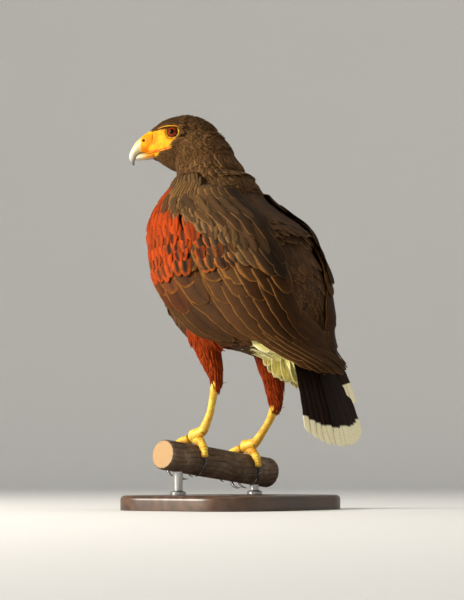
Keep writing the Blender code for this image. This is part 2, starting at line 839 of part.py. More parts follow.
def limb_rings(stations, around):
    """Level rings of a limb from its stations."""
    rings = []
    for centre, wide, deep in stations:
        ring = []
        for k in range(around):
            x, y = rounded(360 * k / around, wide, deep, LIMB_FULLNESS)
            ring.append(Vector(centre) + Vector((x, y, 0)))
        rings.append(ring)
    return rings


def make_thigh(side_name):
    """Feathered thigh, let into the torso with a fine gap."""
    thigh = loft("thigh_" + side_name, limb_rings(THIGHS[side_name], THIGH_AROUND))
    return combine(thigh, [grown(torso_form("torso_room"))], "DIFFERENCE")


def make_tarsus(side_name):
    """Bare shank from the end of the thigh's feathers to the foot."""
    return loft("tarsus_" + side_name, limb_rings(TARSI[side_name], TARSUS_AROUND))


def perch_frame():
    """Axis of the perch, its upper side and its front."""
    up = Vector((0, 0, 1))
    up = (up - PERCH_AXIS * up.dot(PERCH_AXIS)).normalized()
    return PERCH_AXIS, up, up.cross(PERCH_AXIS)


def round_perch(turn, along, radius):
    """Place at a turn round the perch: 0 is its front, 90 its top."""
    axis, up, front = perch_frame()
    if front.y > 0:
        front = -front
    angle = math.radians(turn)
    return PERCH_CENTRE + axis * along + (front * math.cos(angle) + up * math.sin(angle)) * radius


def toe_path(toe, along, side):
    """Centre line and radii of a toe round the perch, with its knuckles."""
    root, tip, spread, thick, thin = TOES[toe][:5]
    path, radii = [], []
    for k in range(TOE_RINGS):
        share = k / (TOE_RINGS - 1)
        turn = root + (tip - root) * share
        radius = thick + (thin - thick) * share + KNUCKLE_HEIGHT * math.sin(share * math.pi * KNUCKLES)
        place = along + side * spread * (TOE_NARROW + (1 - TOE_NARROW) * share)
        path.append(round_perch(turn, place, PERCH_RADIUS + TOE_SEAT + radius))
        radii.append((radius, radius))
    return path, radii


def make_foot(side_name, side):
    """Foot with three toes over the front of the perch and one behind it, each with its claw let in."""
    along = FOOT_ALONG[side_name]
    ankle = Vector(TARSI[side_name][-1][0])
    rest = round_perch(FOOT_TURN, along, PERCH_RADIUS + FOOT_HEIGHT)
    centres = (ankle - Vector((0, 0, GAP)), ankle.lerp(rest, FOOT_MIDDLE), rest)
    stations = [(centre, *size) for centre, size in zip(centres, FOOT_SIZES)]
    foot = loft("foot_" + side_name, limb_rings(stations, FOOT_AROUND))
    toes, rooms, claws = [], [], []
    for toe in TOES:
        path, radii = toe_path(toe, along, side)
        start = rest.lerp(path[0], TOE_START)
        toes.append(tube("toe", [start] + path, [radii[0]] + radii, TOE_AROUND))
        claws.append(make_claw("claw_" + toe + "_" + side_name, toe, along, side))
        rooms.append(make_claw("claw_room", toe, along, side, GAP))
    combine(foot, toes, "UNION")
    combine(foot, rooms, "DIFFERENCE")
    return [foot] + claws


def make_claw(name, toe, along, side, grow=0.0):
    """Curved tapering claw that carries its toe's line on round the perch, or its room when grown."""
    root, tip, spread = TOES[toe][:3]
    thin, arc = TOES[toe][4:]
    sense = -1 if tip < root else 1
    sunk = CLAW_SINK + math.degrees(grow / PERCH_RADIUS)
    path, radii = [], []
    for k in range(CLAW_RINGS):
        share = k / (CLAW_RINGS - 1)
        turn = tip + sense * (arc * share - sunk * (1 - share))
        radius = thin * CLAW_SHARE * (1 - share) ** CLAW_TAPER + CLAW_TIP + grow
        out = PERCH_RADIUS + CLAW_SEAT + thin + CLAW_LIFT * math.sin(math.pi * share)
        path.append(round_perch(turn, along + side * spread * (1 + CLAW_SPREAD * share), out))
        radii.append((radius, radius))
    return tube(name, path, radii, CLAW_AROUND)


def round_edges(body, edges, radius, steps):
    """Round a group of edges of an open bmesh body."""
    bmesh.ops.bevel(body, geom=edges, offset=radius * MM, segments=steps, affect="EDGES", profile=0.5)


def make_stand():
    """Base, rods and the cut length of branch that the feet grip."""
    bpy.ops.mesh.primitive_cube_add(size=1)
    base = bpy.context.object
    base.name = "stand_base"
    scale = Matrix.Diagonal((BASE_LENGTH * MM, BASE_WIDTH * MM, BASE_HEIGHT * MM, 1))
    lift = Matrix.Translation((0, 0, BASE_HEIGHT / 2 * MM))
    base.data.transform(lift @ scale)
    body = bmesh.new()
    body.from_mesh(base.data)
    upright = [e for e in body.edges if abs(e.verts[0].co.z - e.verts[1].co.z) > BASE_HEIGHT * MM / 2]
    round_edges(body, upright, BASE_CORNER, BASE_CORNER_STEPS)
    rim = [e for e in body.edges if all(v.co.z > (BASE_HEIGHT - 0.01) * MM for v in e.verts)]
    round_edges(body, rim, BASE_ROUNDING, BASE_ROUNDING_STEPS)
    body.to_mesh(base.data)
    body.free()

    rings = []
    for k in range(PERCH_STEPS):
        along = PERCH_LENGTH * (k / (PERCH_STEPS - 1) - 0.5)
        turns = [360 * j / PERCH_AROUND for j in range(PERCH_AROUND)]
        rings.append([round_perch(turn, along, PERCH_RADIUS) for turn in turns])
    perch = loft("stand_perch", rings)

    made = [base, perch]
    cutters = []
    for name, along in ROD_OFFSETS.items():
        foot = PERCH_CENTRE + PERCH_AXIS * along
        top = foot.z - PERCH_RADIUS + ROD_SINK
        made.append(upright_rod(name, foot, BASE_HEIGHT + GAP, top, ROD_RADIUS))
        cutters.append(upright_rod("rod_room", foot, BASE_HEIGHT + GAP, top + GAP, ROD_RADIUS + GAP))
    combine(perch, cutters, "DIFFERENCE")
    return made


def upright_rod(name, foot, low, high, radius):
    """Upright round rod between two heights."""
    bpy.ops.mesh.primitive_cylinder_add(vertices=ROD_AROUND, radius=radius * MM, depth=(high - low) * MM)
    rod = bpy.context.object
    rod.name = name
    rod.data.transform(Matrix.Translation(Vector((foot.x, foot.y, (low + high) / 2)) * MM))
    return rod


def finish_of(name):
    """Finish that a node takes."""
    starts = (
        ("stand_base", "base_wood"),
        ("stand_perch", "bark"),
        ("stand_rod", "steel"),
        ("claw", "horn_dark"),
        ("foot", "skin_yellow"),
        ("tarsus", "skin_yellow"),
        ("cere", "skin_yellow"),
        ("upper_bill", "horn_pale"),
        ("lower_bill", "horn_pale"),
        ("eye", "eye"),
        ("thigh", "plumage_rufous"),
        ("wing", "plumage_wing"),
        ("tail", "plumage_tail"),
    )
    for start, finish in starts:
        if name.startswith(start):
            return finish
    return "plumage_dark"


def make_materials():
    """Principled materials from the finish table."""
    made = {}
    for name, (colour, roughness, metallic) in FINISHES.items():
        material = bpy.data.materials.new(name)
        material.use_nodes = True
        shader = material.node_tree.nodes["Principled BSDF"]
        shader.inputs["Base Color"].default_value = (*colour, 1)
        shader.inputs["Roughness"].default_value = roughness
        shader.inputs["Metallic"].default_value = metallic
        material.diffuse_color = (*colour, 1)
        made[name] = material
    return made


def main():
    """Build the hawk and its stand in a collection of their own."""
    for old in list(bpy.data.objects):
        bpy.data.objects.remove(old)
    pieces = make_head() + make_bill()
    pieces += [make_neck(), torso_form("torso")]
    for side_name, side in (("left", 1), ("right", -1)):
        pieces.append(make_wing("wing_" + side_name, side))
        pieces.append(make_thigh(side_name))
        pieces.append(make_tarsus(side_name))
        pieces += make_foot(side_name, side)
    pieces.append(make_tail())
    pieces += make_stand()
    materials = make_materials()
    home = bpy.data.collections.new("harris_hawk")
    bpy.context.scene.collection.children.link(home)
    for piece in pieces:
        for owner in list(piece.users_collection):
            owner.objects.unlink(piece)
        home.objects.link(piece)
        piece.data.materials.clear()
        piece.data.materials.append(materials[finish_of(piece.name)])
        piece.data.shade_smooth()
        piece.data.set_sharp_from_angle(angle=math.radians(CREASE_ANGLE))


main()
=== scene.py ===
"""Looks of the perched hawk: skin, feathers, bill, eyes, feet, branch and stand round the packed solids.

Lengths are millimetres unless a name says otherwise, and MM turns them to metres. The bird faces -Y and its
left side is +X; its head is turned to its left. Angles round the trunk run from the breast (0) over the left
flank (90) to the back (180). A feather's own measures are across (-1 to 1) and along (0 at its root, 1 at its
tip).
"""

import logging
import math
from dataclasses import dataclass, field
from enum import Enum, StrEnum
from functools import cached_property, partialmethod
from typing import NamedTuple

import bmesh
import bpy
import numpy as np
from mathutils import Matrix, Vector


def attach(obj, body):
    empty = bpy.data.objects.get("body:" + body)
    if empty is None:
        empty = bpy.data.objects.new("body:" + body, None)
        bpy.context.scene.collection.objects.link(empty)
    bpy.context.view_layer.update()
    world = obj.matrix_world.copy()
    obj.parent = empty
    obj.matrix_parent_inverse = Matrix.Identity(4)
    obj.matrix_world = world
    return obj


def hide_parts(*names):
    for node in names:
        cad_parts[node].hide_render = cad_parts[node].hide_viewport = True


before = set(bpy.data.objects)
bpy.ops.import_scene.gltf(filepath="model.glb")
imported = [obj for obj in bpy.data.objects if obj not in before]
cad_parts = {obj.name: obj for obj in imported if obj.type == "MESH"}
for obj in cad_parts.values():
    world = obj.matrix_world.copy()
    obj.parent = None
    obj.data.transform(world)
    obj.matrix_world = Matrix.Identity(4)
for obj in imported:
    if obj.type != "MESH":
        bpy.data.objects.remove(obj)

MM = 0.001
BAKE_PATCH = 0.003
BODY = "root"
UP = np.array([0, 0, 1.0])
LOG = logging.getLogger("hawk")

Array = np.ndarray
Chance = np.random.Generator
Colour = tuple[float, float, float]
Material = bpy.types.Material
Piece = bpy.types.Object
Socket = bpy.types.NodeSocket


def ease(low: float, high: float, value: Array) -> Array:
    """Ease from 0 at low to 1 at high."""
    share = np.clip((np.asarray(value, float) - low) / (high - low), 0, 1)
    return share * share * (3 - 2 * share)


def unit(vectors: Array) -> Array:
    """Vectors at length one."""
    return vectors / np.maximum(np.linalg.norm(vectors, axis=-1, keepdims=True), 1e-9)


def through(rows: tuple, at: float) -> list[float]:
    """Read a row of numbers at a place along stations, on a smooth curve through them.

    Args:
        rows: Stations, each a place followed by its numbers, in rising order.
        at: Place to read.

    Returns:
        The numbers at that place.
    """
    at = min(max(at, rows[0][0]), rows[-1][0])
    i = max(k for k in range(len(rows) - 1) if rows[k][0] <= at or k == 0)
    here, there = rows[i], rows[i + 1]
    before, after = rows[max(i - 1, 0)], rows[min(i + 2, len(rows) - 1)]
    step = there[0] - here[0]
    t = (at - here[0]) / step
    values = []
    for k in range(1, len(here)):
        slope_in = (there[k] - before[k]) / (there[0] - before[0]) * step
        slope_out = (after[k] - here[k]) / (after[0] - here[0]) * step
        values.append(
            here[k] * (2 * t**3 - 3 * t**2 + 1)
            + there[k] * (3 * t**2 - 2 * t**3)
            + slope_in * (t**3 - 2 * t**2 + t)
            + slope_out * (t**3 - t**2)
        )
    return values


def rounded(angle: Array, wide: Array, deep: Array, fullness: Array) -> tuple:
    """Point of a rounded section from its front (angle 0) towards +X, as x and y.

    Args:
        angle: Angle in degrees.
        wide: Half width.
        deep: Half depth.
        fullness: 2 for an ellipse, more for a fuller section.

    Returns:
        The two coordinates.
    """
    s, c = np.sin(np.radians(angle)), np.cos(np.radians(angle))
    power = 2 / fullness
    return wide * np.sign(s) * np.abs(s) ** power, -deep * np.sign(c) * np.abs(c) ** power


def curve(points: tuple, places: Array) -> Array:
    """Rows along a smooth curve through points, at places where whole numbers are the points themselves."""
    rows = tuple((k, *point) for k, point in enumerate(points))
    return np.array([through(rows, place) for place in places])


def turns(count: int, whole: float = math.tau) -> Array:
    """Evenly spaced angles once round."""
    return np.linspace(0, whole, count, endpoint=False)


class Side(Enum):
    """The two sides of the bird, as the sign of X."""

    LEFT = 1
    RIGHT = -1

    @property
    def word(self) -> str:
        """Name of the side in node and piece names."""
        return self.name.lower()


@dataclass(frozen=True)
class Trunk:
    """Outer form of the trunk with its folded wings: level rounded sections between stations."""

    stations: tuple = (
        (125, 85, 150, 46, 2.4),
        (140, 75, 146, 50, 2.4),
        (155, 48, 138, 55, 2.5),
        (168, 14, 127, 61, 2.6),
        (180, -16, 118, 68, 2.7),
        (193, -42, 113, 75, 2.8),
        (205, -55, 113, 79, 2.8),
        (225, -69, 110, 82, 2.8),
        (245, -77, 107, 83, 2.8),
        (265, -84, 101, 83, 2.7),
        (285, -88, 91, 82, 2.6),
        (306, -90, 80, 79, 2.6),
        (322, -86, 58, 72, 2.5),
        (340, -77, 37, 59, 2.4),
        (356, -69, 28.5, 47, 2.2),
        (372, -67, 14, 40, 2.1),
    )

    @cached_property
    def table(self) -> tuple[Array, Array]:
        """Heights a millimetre apart, and the stations' numbers there."""
        heights = np.arange(self.stations[0][0], self.stations[-1][0] + 1.0)
        return heights, np.array([through(self.stations, height) for height in heights])

    def section(self, height: Array) -> tuple:
        """Front, back, half width and fullness at heights."""
        heights, rows = self.table
        return tuple(np.interp(height, heights, rows[:, k]) for k in range(4))

    def point(self, angle: Array, height: Array) -> Array:
        """Points of the form at angles and heights.

        Args:
            angle: Angle round the form, in degrees.
            height: Height over the floor.

        Returns:
            Points as rows.
        """
        angle, height = np.broadcast_arrays(np.asarray(angle, float), np.asarray(height, float))
        front, back, wide, fullness = self.section(height)
        x, y = rounded(angle, wide, (back - front) / 2, fullness)
        return np.stack([x, y + (front + back) / 2, height], axis=-1)

    def normal(self, angle: Array, height: Array) -> Array:
        """Outward normals of the form.

        Args:
            angle: Angle round the form, in degrees.
            height: Height over the floor.

        Returns:
            Unit vectors as rows.
        """
        across = self.point(angle + 2.0, height) - self.point(angle - 2.0, height)
        low = np.maximum(height - 3.0, self.stations[0][0])
        high = np.minimum(height + 3.0, self.stations[-1][0])
        return unit(np.cross(across, self.point(angle, high) - self.point(angle, low)))

    def radius(self, height: Array) -> Array:
        """Mean radius at heights."""
        front, back, wide, _ = self.section(height)
        return (wide + (back - front) / 2) / 2

    def angle_of(self, points: Array) -> Array:
        """Angle round the form, 0 to 180 on either side, of points near it.

        Args:
            points: Points as rows, in millimetres.

        Returns:
            Angles in degrees.
        """
        front, back, wide, fullness = self.section(points[:, 2])
        x = np.abs(points[:, 0]) / wide
        y = (points[:, 1] - (front + back) / 2) / ((back - front) / 2)
        return np.degrees(np.arctan2(x ** (fullness / 2), -np.sign(y) * np.abs(y) ** (fullness / 2)))


class OwnAxes:
    """A part with an origin and axes of its own, given as the rows of a matrix."""

    def place(self, first: Array, second: Array, third: Array) -> Array:
        """Points from the part's own measures."""
        own = np.stack(np.broadcast_arrays(first, second, third), axis=-1).astype(float)
        return own @ self.axes + np.array(self.origin)

    def own(self, points: Array) -> Array:
        """Points in the part's own measures."""
        return (points - np.array(self.origin)) @ self.axes.T


@dataclass(frozen=True)
class HeadForm(OwnAxes):
    """Axes and sections of the turned head, in forward, up and left from its centre."""

    origin: tuple = (8.7, -62.5, 411.0)
    yaw: float = 35.0
    sections: tuple = (
        (-40, 9, -22, 15, -6),
        (-34, 17, -27, 20.5, -6),
        (-24, 23.5, -31, 24.5, -6),
        (-12, 27.4, -34, 26.5, -5),
        (0, 28.0, -36, 26.0, -3),
        (10, 26.4, -34, 23.5, 0),
        (18, 23.6, -29.5, 20.0, 1),
        (26, 19.0, -24.5, 15.5, -2),
        (32, 14.2, -22.0, 12.8, -5),
        (37.4, 9.6, -21.0, 10.6, -7),
    )
    fullness: float = 2.25

    @property
    def axes(self) -> Array:
        """Rows: forward, up and left."""
        a = math.radians(self.yaw)
        return np.array([[math.sin(a), -math.cos(a), 0], [0, 0, 1], [math.cos(a), math.sin(a), 0]])

    def ring(self, forward: float, sizes: list, inset: float, shrink: float, around: int) -> Array:
        """One section of the head, fuller below its widest level than above it.

        Args:
            forward: Place along the head.
            sizes: Its top, bottom, half width and widest level there.
            inset: Depth of the skin.
            shrink: Factor on its sizes.
            around: Points in the ring.

        Returns:
            Its points.
        """
        top, bottom, wide, level = sizes
        angle = turns(around, 360)
        reach = np.where(np.cos(np.radians(angle)) > 0, top - inset - level, level - bottom - inset)
        side, drop = rounded(angle, wide - inset, reach, self.fullness)
        return self.place(np.full(around, forward), level - drop * shrink, side * shrink)


@dataclass(frozen=True)
class TailFrame(OwnAxes):
    """Axes of the tail from its root, in along, across and towards the back."""

    origin: tuple = (0.0, 93.0, 206.0)
    tip: tuple = (-2.0, 142.0, 68.0)

    @property
    def length(self) -> float:
        """Distance from root to tip."""
        return float(np.linalg.norm(np.subtract(self.tip, self.origin)))

    @property
    def axes(self) -> Array:
        """Rows: along, across and back.

        Returns:
            Three unit vectors.
        """
        along = unit(np.subtract(self.tip, self.origin))
        across = np.array([1.0, 0.0, 0.0])
        across = unit(across - along * (across @ along))
        return np.stack([along, across, np.cross(across, along)])


TRUNK = Trunk()
HEAD = HeadForm()
TAIL = TailFrame()


class Shell(NamedTuple):
    """A closed skin: points in millimetres, faces, and three numbers for each point that a finish reads."""

    points: Array
    faces: list
    marks: Array


def loft(rings: list[Array], marks: list[Array] | float = 0.0, ends: tuple = ((0, 0, 0), (0, 0, 0))) -> Shell:
    """Closed skin between rings of equal count, with a fan over each end.

    Args:
        rings: Sections, each an array of points.
        marks: Marks of each section's points, or one number for all.
        ends: Marks of the middles of both fans.

    Returns:
        The shell.
    """
    points = np.concatenate([*rings, [np.mean(rings[0], axis=0)], [np.mean(rings[-1], axis=0)]])
    middle = len(points) - 2
    here = np.arange(middle).reshape(len(rings), -1)
    after = np.roll(here, -1, axis=1)
    faces = np.stack([here[:-1], after[:-1], after[1:], here[1:]], axis=-1).reshape(-1, 4).tolist()
    faces += [(b, a, middle) for a, b in zip(here[0].tolist(), after[0].tolist())]
    faces += [(a, b, middle + 1) for a, b in zip(here[-1].tolist(), after[-1].tolist())]
    if isinstance(marks, float):
        return Shell(points, faces, np.full(points.shape, marks))
    return Shell(points, faces, np.concatenate([*marks, ends]))


def tube(path: Array, radii: Array, around: int, up: Array) -> Array:
    """Rings round a path.

    Args:
        path: Points of the path.
        radii: Half width and half depth at each point.
        around: Points in each ring.
        up: Direction of angle 0.

    Returns:
        Rings as an array of stations by points.
    """
    ahead = unit(np.gradient(path, axis=0))
    side = unit(np.cross(ahead, up))
    lift = np.cross(side, ahead)
    c, s = np.cos(turns(around))[None, :, None], np.sin(turns(around))[None, :, None]
    wide, high = radii.T[:2, :, None, None]
    return path[:, None] + side[:, None] * s * wide + lift[:, None] * c * high


def joined(shells: list[Shell]) -> Shell:
    """Several shells as one.

    Args:
        shells: The shells.

    Returns:
        One shell.
    """
    starts = np.cumsum([0] + [len(shell.points) for shell in shells]).tolist()
    faces = [[i + start for i in f] for shell, start in zip(shells, starts) for f in shell.faces]
    return Shell(np.concatenate([s.points for s in shells]), faces, np.concatenate([s.marks for s in shells]))


def set_attributes(mesh: bpy.types.Mesh, values: dict) -> None:
    """Store point attributes by name, from one number or three for each point.

    Args:
        mesh: The mesh.
        values: Values by attribute name.
    """
    for name, rows in values.items():
        rows = np.asarray(rows, np.float32)
        kind, slot = ("FLOAT", "value") if rows.ndim == 1 else ("FLOAT_VECTOR", "vector")
        mesh.attributes.new(name, kind, "POINT").data.foreach_set(slot, rows.ravel())


def mesh_piece(name: str, points: Array, faces: list, attributes: dict) -> Piece:
    """Mesh object from points in millimetres, linked to the scene.

    Args:
        name: Name of the piece.
        points: Its points.
        faces: Its faces.
        attributes: Point attributes by name.

    Returns:
        The piece.
    """
    mesh = bpy.data.meshes.new(name)
    mesh.from_pydata((np.asarray(points, float) * MM).tolist(), [], faces)
    set_attributes(mesh, attributes)
    piece = bpy.data.objects.new(name, mesh)
    bpy.context.scene.collection.objects.link(piece)
    return piece


def outward(piece: Piece) -> Piece:
    """Turn a closed piece's faces outwards and shade it smooth.

    Args:
        piece: The piece.

    Returns:
        The same piece.
    """
    body = bmesh.new()
    body.from_mesh(piece.data)
    bmesh.ops.recalc_face_normals(body, faces=body.faces[:])
    body.to_mesh(piece.data)
    body.free()
    piece.data.shade_smooth()
    return piece


def plain(piece: Piece) -> Piece:
    """Apply a piece's modifiers to its mesh.

    Args:
        piece: The piece.

    Returns:
        The same piece.
    """
    graph = bpy.context.evaluated_depsgraph_get()
    mesh = bpy.data.meshes.new_from_object(piece.evaluated_get(graph))
    piece.modifiers.clear()
    old = piece.data
    piece.data = mesh
    mesh.name = piece.name
    if old.users == 0:
        bpy.data.meshes.remove(old)
    return piece


def points_of(piece: Piece) -> Array:
    """Points of a piece's mesh in millimetres.

    Args:
        piece: The piece.

    Returns:
        Points as rows.
    """
    values = np.zeros(len(piece.data.vertices) * 3, np.float32)
    piece.data.vertices.foreach_get("co", values)
    return values.reshape(-1, 3).astype(float) / MM


def attribute_of(piece: Piece, name: str) -> Array:
    """Values of a point attribute, as rows of three or as numbers.

    Args:
        piece: The piece.
        name: Name of the attribute.

    Returns:
        The values.
    """
    data = piece.data.attributes[name]
    wide = data.data_type == "FLOAT_VECTOR"
    values = np.zeros(len(data.data) * (3 if wide else 1), np.float32)
    data.data.foreach_get("vector" if wide else "value", values)
    return values.reshape(-1, 3) if wide else values


def bake_map(piece: Piece) -> None:
    """Give a coat piece its OFBake map: each feather a small patch at its root's place on the unwrapped skin.

    Args:
        piece: The piece.
    """
    mesh = piece.data
    corner = np.zeros(len(mesh.loops), np.int32)
    mesh.loops.foreach_get("vertex_index", corner)
    root = attribute_of(piece, "unwrap")[corner, :2]
    leaf = attribute_of(piece, "leaf")[corner, :2]
    local = np.stack([leaf[:, 0] * 0.5, leaf[:, 1] - 0.5], axis=1)
    layer = mesh.uv_layers.new(name="OFBake")
    layer.data.foreach_set("uv", (root + local * BAKE_PATCH * 0.92).astype(np.float32).ravel())


def finish_piece(piece: Piece, material: Material, slot: str, *nodes: str) -> Piece:
    """Give a finished piece its material, its body, its material slot and the nodes that it stands for.

    Args:
        piece: The finished piece.
        material: Its material.
        slot: Name of the record's material slot.
        nodes: Names of the CAD nodes that it replaces.

    Returns:
        The piece.
    """
    piece.data.materials.clear()
    piece.data.materials.append(material)
    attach(piece, BODY)
    if nodes:
        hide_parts(*nodes)
    triangles = sum(len(p.vertices) - 2 for p in piece.data.polygons)
    LOG.info("%s: %d triangles", piece.name, triangles)
    return piece


def solid(name: str, shells: list[Shell], mark: str, material: Material, slot: str, *nodes: str) -> Piece:
    """Make a closed piece and hand it in.

    Args:
        name: Name of the piece.
        shells: What it is made of.
        mark: Name of the attribute that takes their marks, if any.
        material: Its material.
        slot: Name of the record's material slot.
        nodes: Names of the CAD nodes that it replaces.

    Returns:
        The piece.
    """
    whole = joined(shells)
    piece = mesh_piece(name, whole.points, whole.faces, {mark: whole.marks} if mark else {})
    return finish_piece(outward(piece), material, slot, *nodes)


def add_node(
    tree: bpy.types.NodeTree, kind: str, inputs: dict, output: int | str = 0, **settings: str
) -> Socket:
    """Add a node to a tree.

    Args:
        tree: The tree.
        kind: Type of the node.
        inputs: Values or links of its sockets, by name or number; a colour has three numbers.
        output: Name or number of an output.
        settings: Properties of the node, set before its inputs.

    Returns:
        The output.
    """
    made = tree.nodes.new(kind)
    for key, value in settings.items():
        setattr(made, key, value)
    for key, value in inputs.items():
        socket = made.inputs[key]
        if isinstance(value, Socket):
            tree.links.new(value, socket)
        else:
            socket.default_value = (*value, 1) if socket.type == "RGBA" else value
    return made.outputs[output]


class Term:
    """A socket of a shader tree that Python arithmetic builds on."""

    def __init__(self, shader: "Shader", socket: Socket) -> None:
        """Keep the socket and the shader that it belongs to."""
        self.shader = shader
        self.socket = socket

    def maths(self, operation: str, *others: "Term | float") -> "Term":
        """Add a Math node on this value and others."""
        return self.shader.node("ShaderNodeMath", dict(enumerate((self, *others))), operation=operation)

    __add__ = __radd__ = partialmethod(maths, "ADD")
    __mul__ = __rmul__ = partialmethod(maths, "MULTIPLY")
    __sub__ = partialmethod(maths, "SUBTRACT")
    least = partialmethod(maths, "MINIMUM")
    most = partialmethod(maths, "MAXIMUM")
    size = partialmethod(maths, "ABSOLUTE")
    wave = partialmethod(maths, "SINE")

    def __rsub__(self, other: float) -> "Term":
        """Difference from a number."""
        return self.shader.node("ShaderNodeMath", {0: other, 1: self}, operation="SUBTRACT")

    def eased(self, low: "Term | float", high: "Term | float") -> "Term":
        """Smooth step from 0 at low to 1 at high."""
        inputs = {"Value": self, "From Min": low, "From Max": high}
        return self.shader.node("ShaderNodeMapRange", inputs, interpolation_type="SMOOTHSTEP")

    def scaled(self, factor: "Term | float") -> "Term":
        """A colour or vector made longer or shorter."""
        return self.shader.node("ShaderNodeVectorMath", {"Vector": self, "Scale": factor}, operation="SCALE")


class Shader:
    """Node tree of one material, written as expressions."""

    def __init__(self, name: str, constants: dict) -> None:
        """Make the material.

        Args:
            name: Name of the material.
            constants: Values that stay the same all over the surface, by socket.
        """
        self.material = bpy.data.materials.new(name)
        self.material.use_nodes = True
        self.tree = self.material.node_tree
        self.surface = self.tree.nodes["Principled BSDF"]
        for key, value in constants.items():
            self.surface.inputs[key].default_value = value

    def node(self, kind: str, inputs: dict, output: int | str = 0, **settings: str) -> Term:
        """Add a node with its settings and inputs, and give one output."""
        plain_inputs = {
            key: value.socket if isinstance(value, Term) else value for key, value in inputs.items()
        }
        return Term(self, add_node(self.tree, kind, plain_inputs, output, **settings))

    def mix(self, first: "Term | Colour", second: "Term | Colour", factor: "Term | float") -> Term:
        """Blend of two colours."""
        return self.node("ShaderNodeMix", {0: factor, 6: first, 7: second}, 2, data_type="RGBA")

    def attribute(self, name: str) -> Term:
        """A vector attribute of the mesh."""
        return self.node("ShaderNodeAttribute", {}, "Vector", attribute_name=name)

    def fields(self, name: str) -> list[Term]:
        """The three numbers of a vector attribute of the mesh."""
        split = self.node("ShaderNodeSeparateXYZ", {0: self.attribute(name)}).socket.node
        return [Term(self, socket) for socket in split.outputs]

    def place(self) -> Term:
        """Object coordinates."""
        return self.node("ShaderNodeTexCoord", {}, "Object")

    def stretched(self, scale: tuple, turn: tuple = (0, 0, 0), at: Term | None = None) -> Term:
        """Coordinates scaled and turned by a Mapping node."""
        inputs = {"Vector": at or self.place(), "Scale": scale, "Rotation": turn}
        return self.node("ShaderNodeMapping", inputs)

    def noise(
        self, scale: float, detail: float = 3.0, roughness: float = 0.55, at: Term | None = None
    ) -> Term:
        """Noise between about 0.3 and 0.7."""
        inputs = {"Vector": at or self.place(), "Scale": scale, "Detail": detail, "Roughness": roughness}
        return self.node("ShaderNodeTexNoise", inputs)

    def cells(self, scale: float, **settings: str) -> Term:
        """Distances within a Voronoi pattern."""
        return self.node("ShaderNodeTexVoronoi", {"Vector": self.place(), "Scale": scale}, **settings)

    def ramp(self, value: Term, *stops: tuple[float, Colour]) -> Term:
        """Colour of a value between stops.

        Args:
            value: What picks the colour.
            stops: Places and colours.

        Returns:
            The colour.
        """
        colour = self.node("ShaderNodeValToRGB", {0: value})
        elements = colour.socket.node.color_ramp.elements
        while len(elements) < len(stops):
            elements.new(0.5)
        for element, (place, rgb) in zip(elements, stops):
            element.position = place
            element.color = (*rgb, 1)
        return colour

    def set(self, **links: Term) -> None:
        """Link sockets of the surface; underscores stand for spaces."""
        for key, value in links.items():
            self.tree.links.new(value.socket, self.surface.inputs[key.replace("_", " ").title()])

    def relief(self, height: Term, depth: float) -> None:
        """Bump from a height of 0 to 1, with its depth in millimetres."""
        inputs = {"Height": height, "Distance": depth * MM, "Strength": 1.0}
        self.set(normal=self.node("ShaderNodeBump", inputs))


class Finish:
    """Look of a surface. A subclass names it and states what is even over it; its paint adds the rest."""

    name: str
    even: dict

    def paint(self, shader: Shader) -> None:
        """Link what varies over the surface."""
        raise NotImplementedError

    def material(self) -> Material:
        """Build the material.

        Returns:
            The material.
        """
        shader = Shader(self.name, self.even)
        self.paint(shader)
        return shader.material


class PlumageFinish(Finish):
    """Feather vanes: the dye of each feather, its paler fringe, shaft, barbs and mottling."""

    name = "plumage"
    even = {"Roughness": 0.68, "Specular IOR Level": 0.09}
    barbs = 34.0

    def paint(self, shader: Shader) -> None:
        """Link the colour and relief of a vane.

        Args:
            shader: Shader of the finish.
        """
        across, along, tone = shader.fields("leaf")
        trim, aspect, streak = shader.fields("trim")
        away = across.size()
        edge = 1 - (1 - away).least((1 - along) * aspect).eased(trim * 0.35, trim * 1.4)
        band = along.eased(streak + 0.985, streak + 1.01)
        shaft = 1 - away.eased(0.02, 0.08)
        core = 1 - away.eased(0.1, 0.55)
        barb = ((along * aspect - away * 0.8) * self.barbs).wave()
        cloud = shader.noise(95.0, 4.0, 0.65)
        fine = shader.noise(620.0, 2.0, 0.6)
        shade = (0.62 + tone * 0.5) * (0.66 + cloud * 0.68) * (0.94 + barb * 0.07) * (0.72 + fine * 0.56)
        centre = shader.attribute("dye").scaled(shade * (1 - core * streak.most(0.0)))
        rim = shader.attribute("fringe").scaled(0.72 + fine * 0.56)
        worn = edge * trim.eased(0.004, 0.02) * (0.4 + cloud.eased(0.36, 0.6) * 0.6)
        shader.set(base_color=shader.mix(centre, rim, worn.most(band)).scaled(1 - shaft * 0.3))
        shader.relief(barb * 0.25 + shaft * 0.7 + fine * 0.6, 0.25)


class GroundFinish(Finish):
    """Skin under the plumage: down in the colours of the coat, and bare yellow skin on the face."""

    name = "down_and_skin"
    even = {"Roughness": 0.6, "Specular IOR Level": 0.12}

    def paint(self, shader: Shader) -> None:
        """Link down and bare skin by where the face is bare.

        Args:
            shader: Shader of the finish.
        """
        fine = shader.noise(700.0, 3.0, 0.6)
        down = shader.attribute("dye").scaled(0.35 + fine * 0.6)
        skin = shader.mix((0.66, 0.21, 0.002), (0.72, 0.36, 0.004), shader.noise(120.0).eased(0.38, 0.6))
        bare = shader.fields("bare")[0]
        shader.set(base_color=shader.mix(down, skin.scaled(0.86 + fine * 0.28), bare))
        shader.relief(shader.cells(900.0) * 0.7 + fine * 0.6, 0.25)


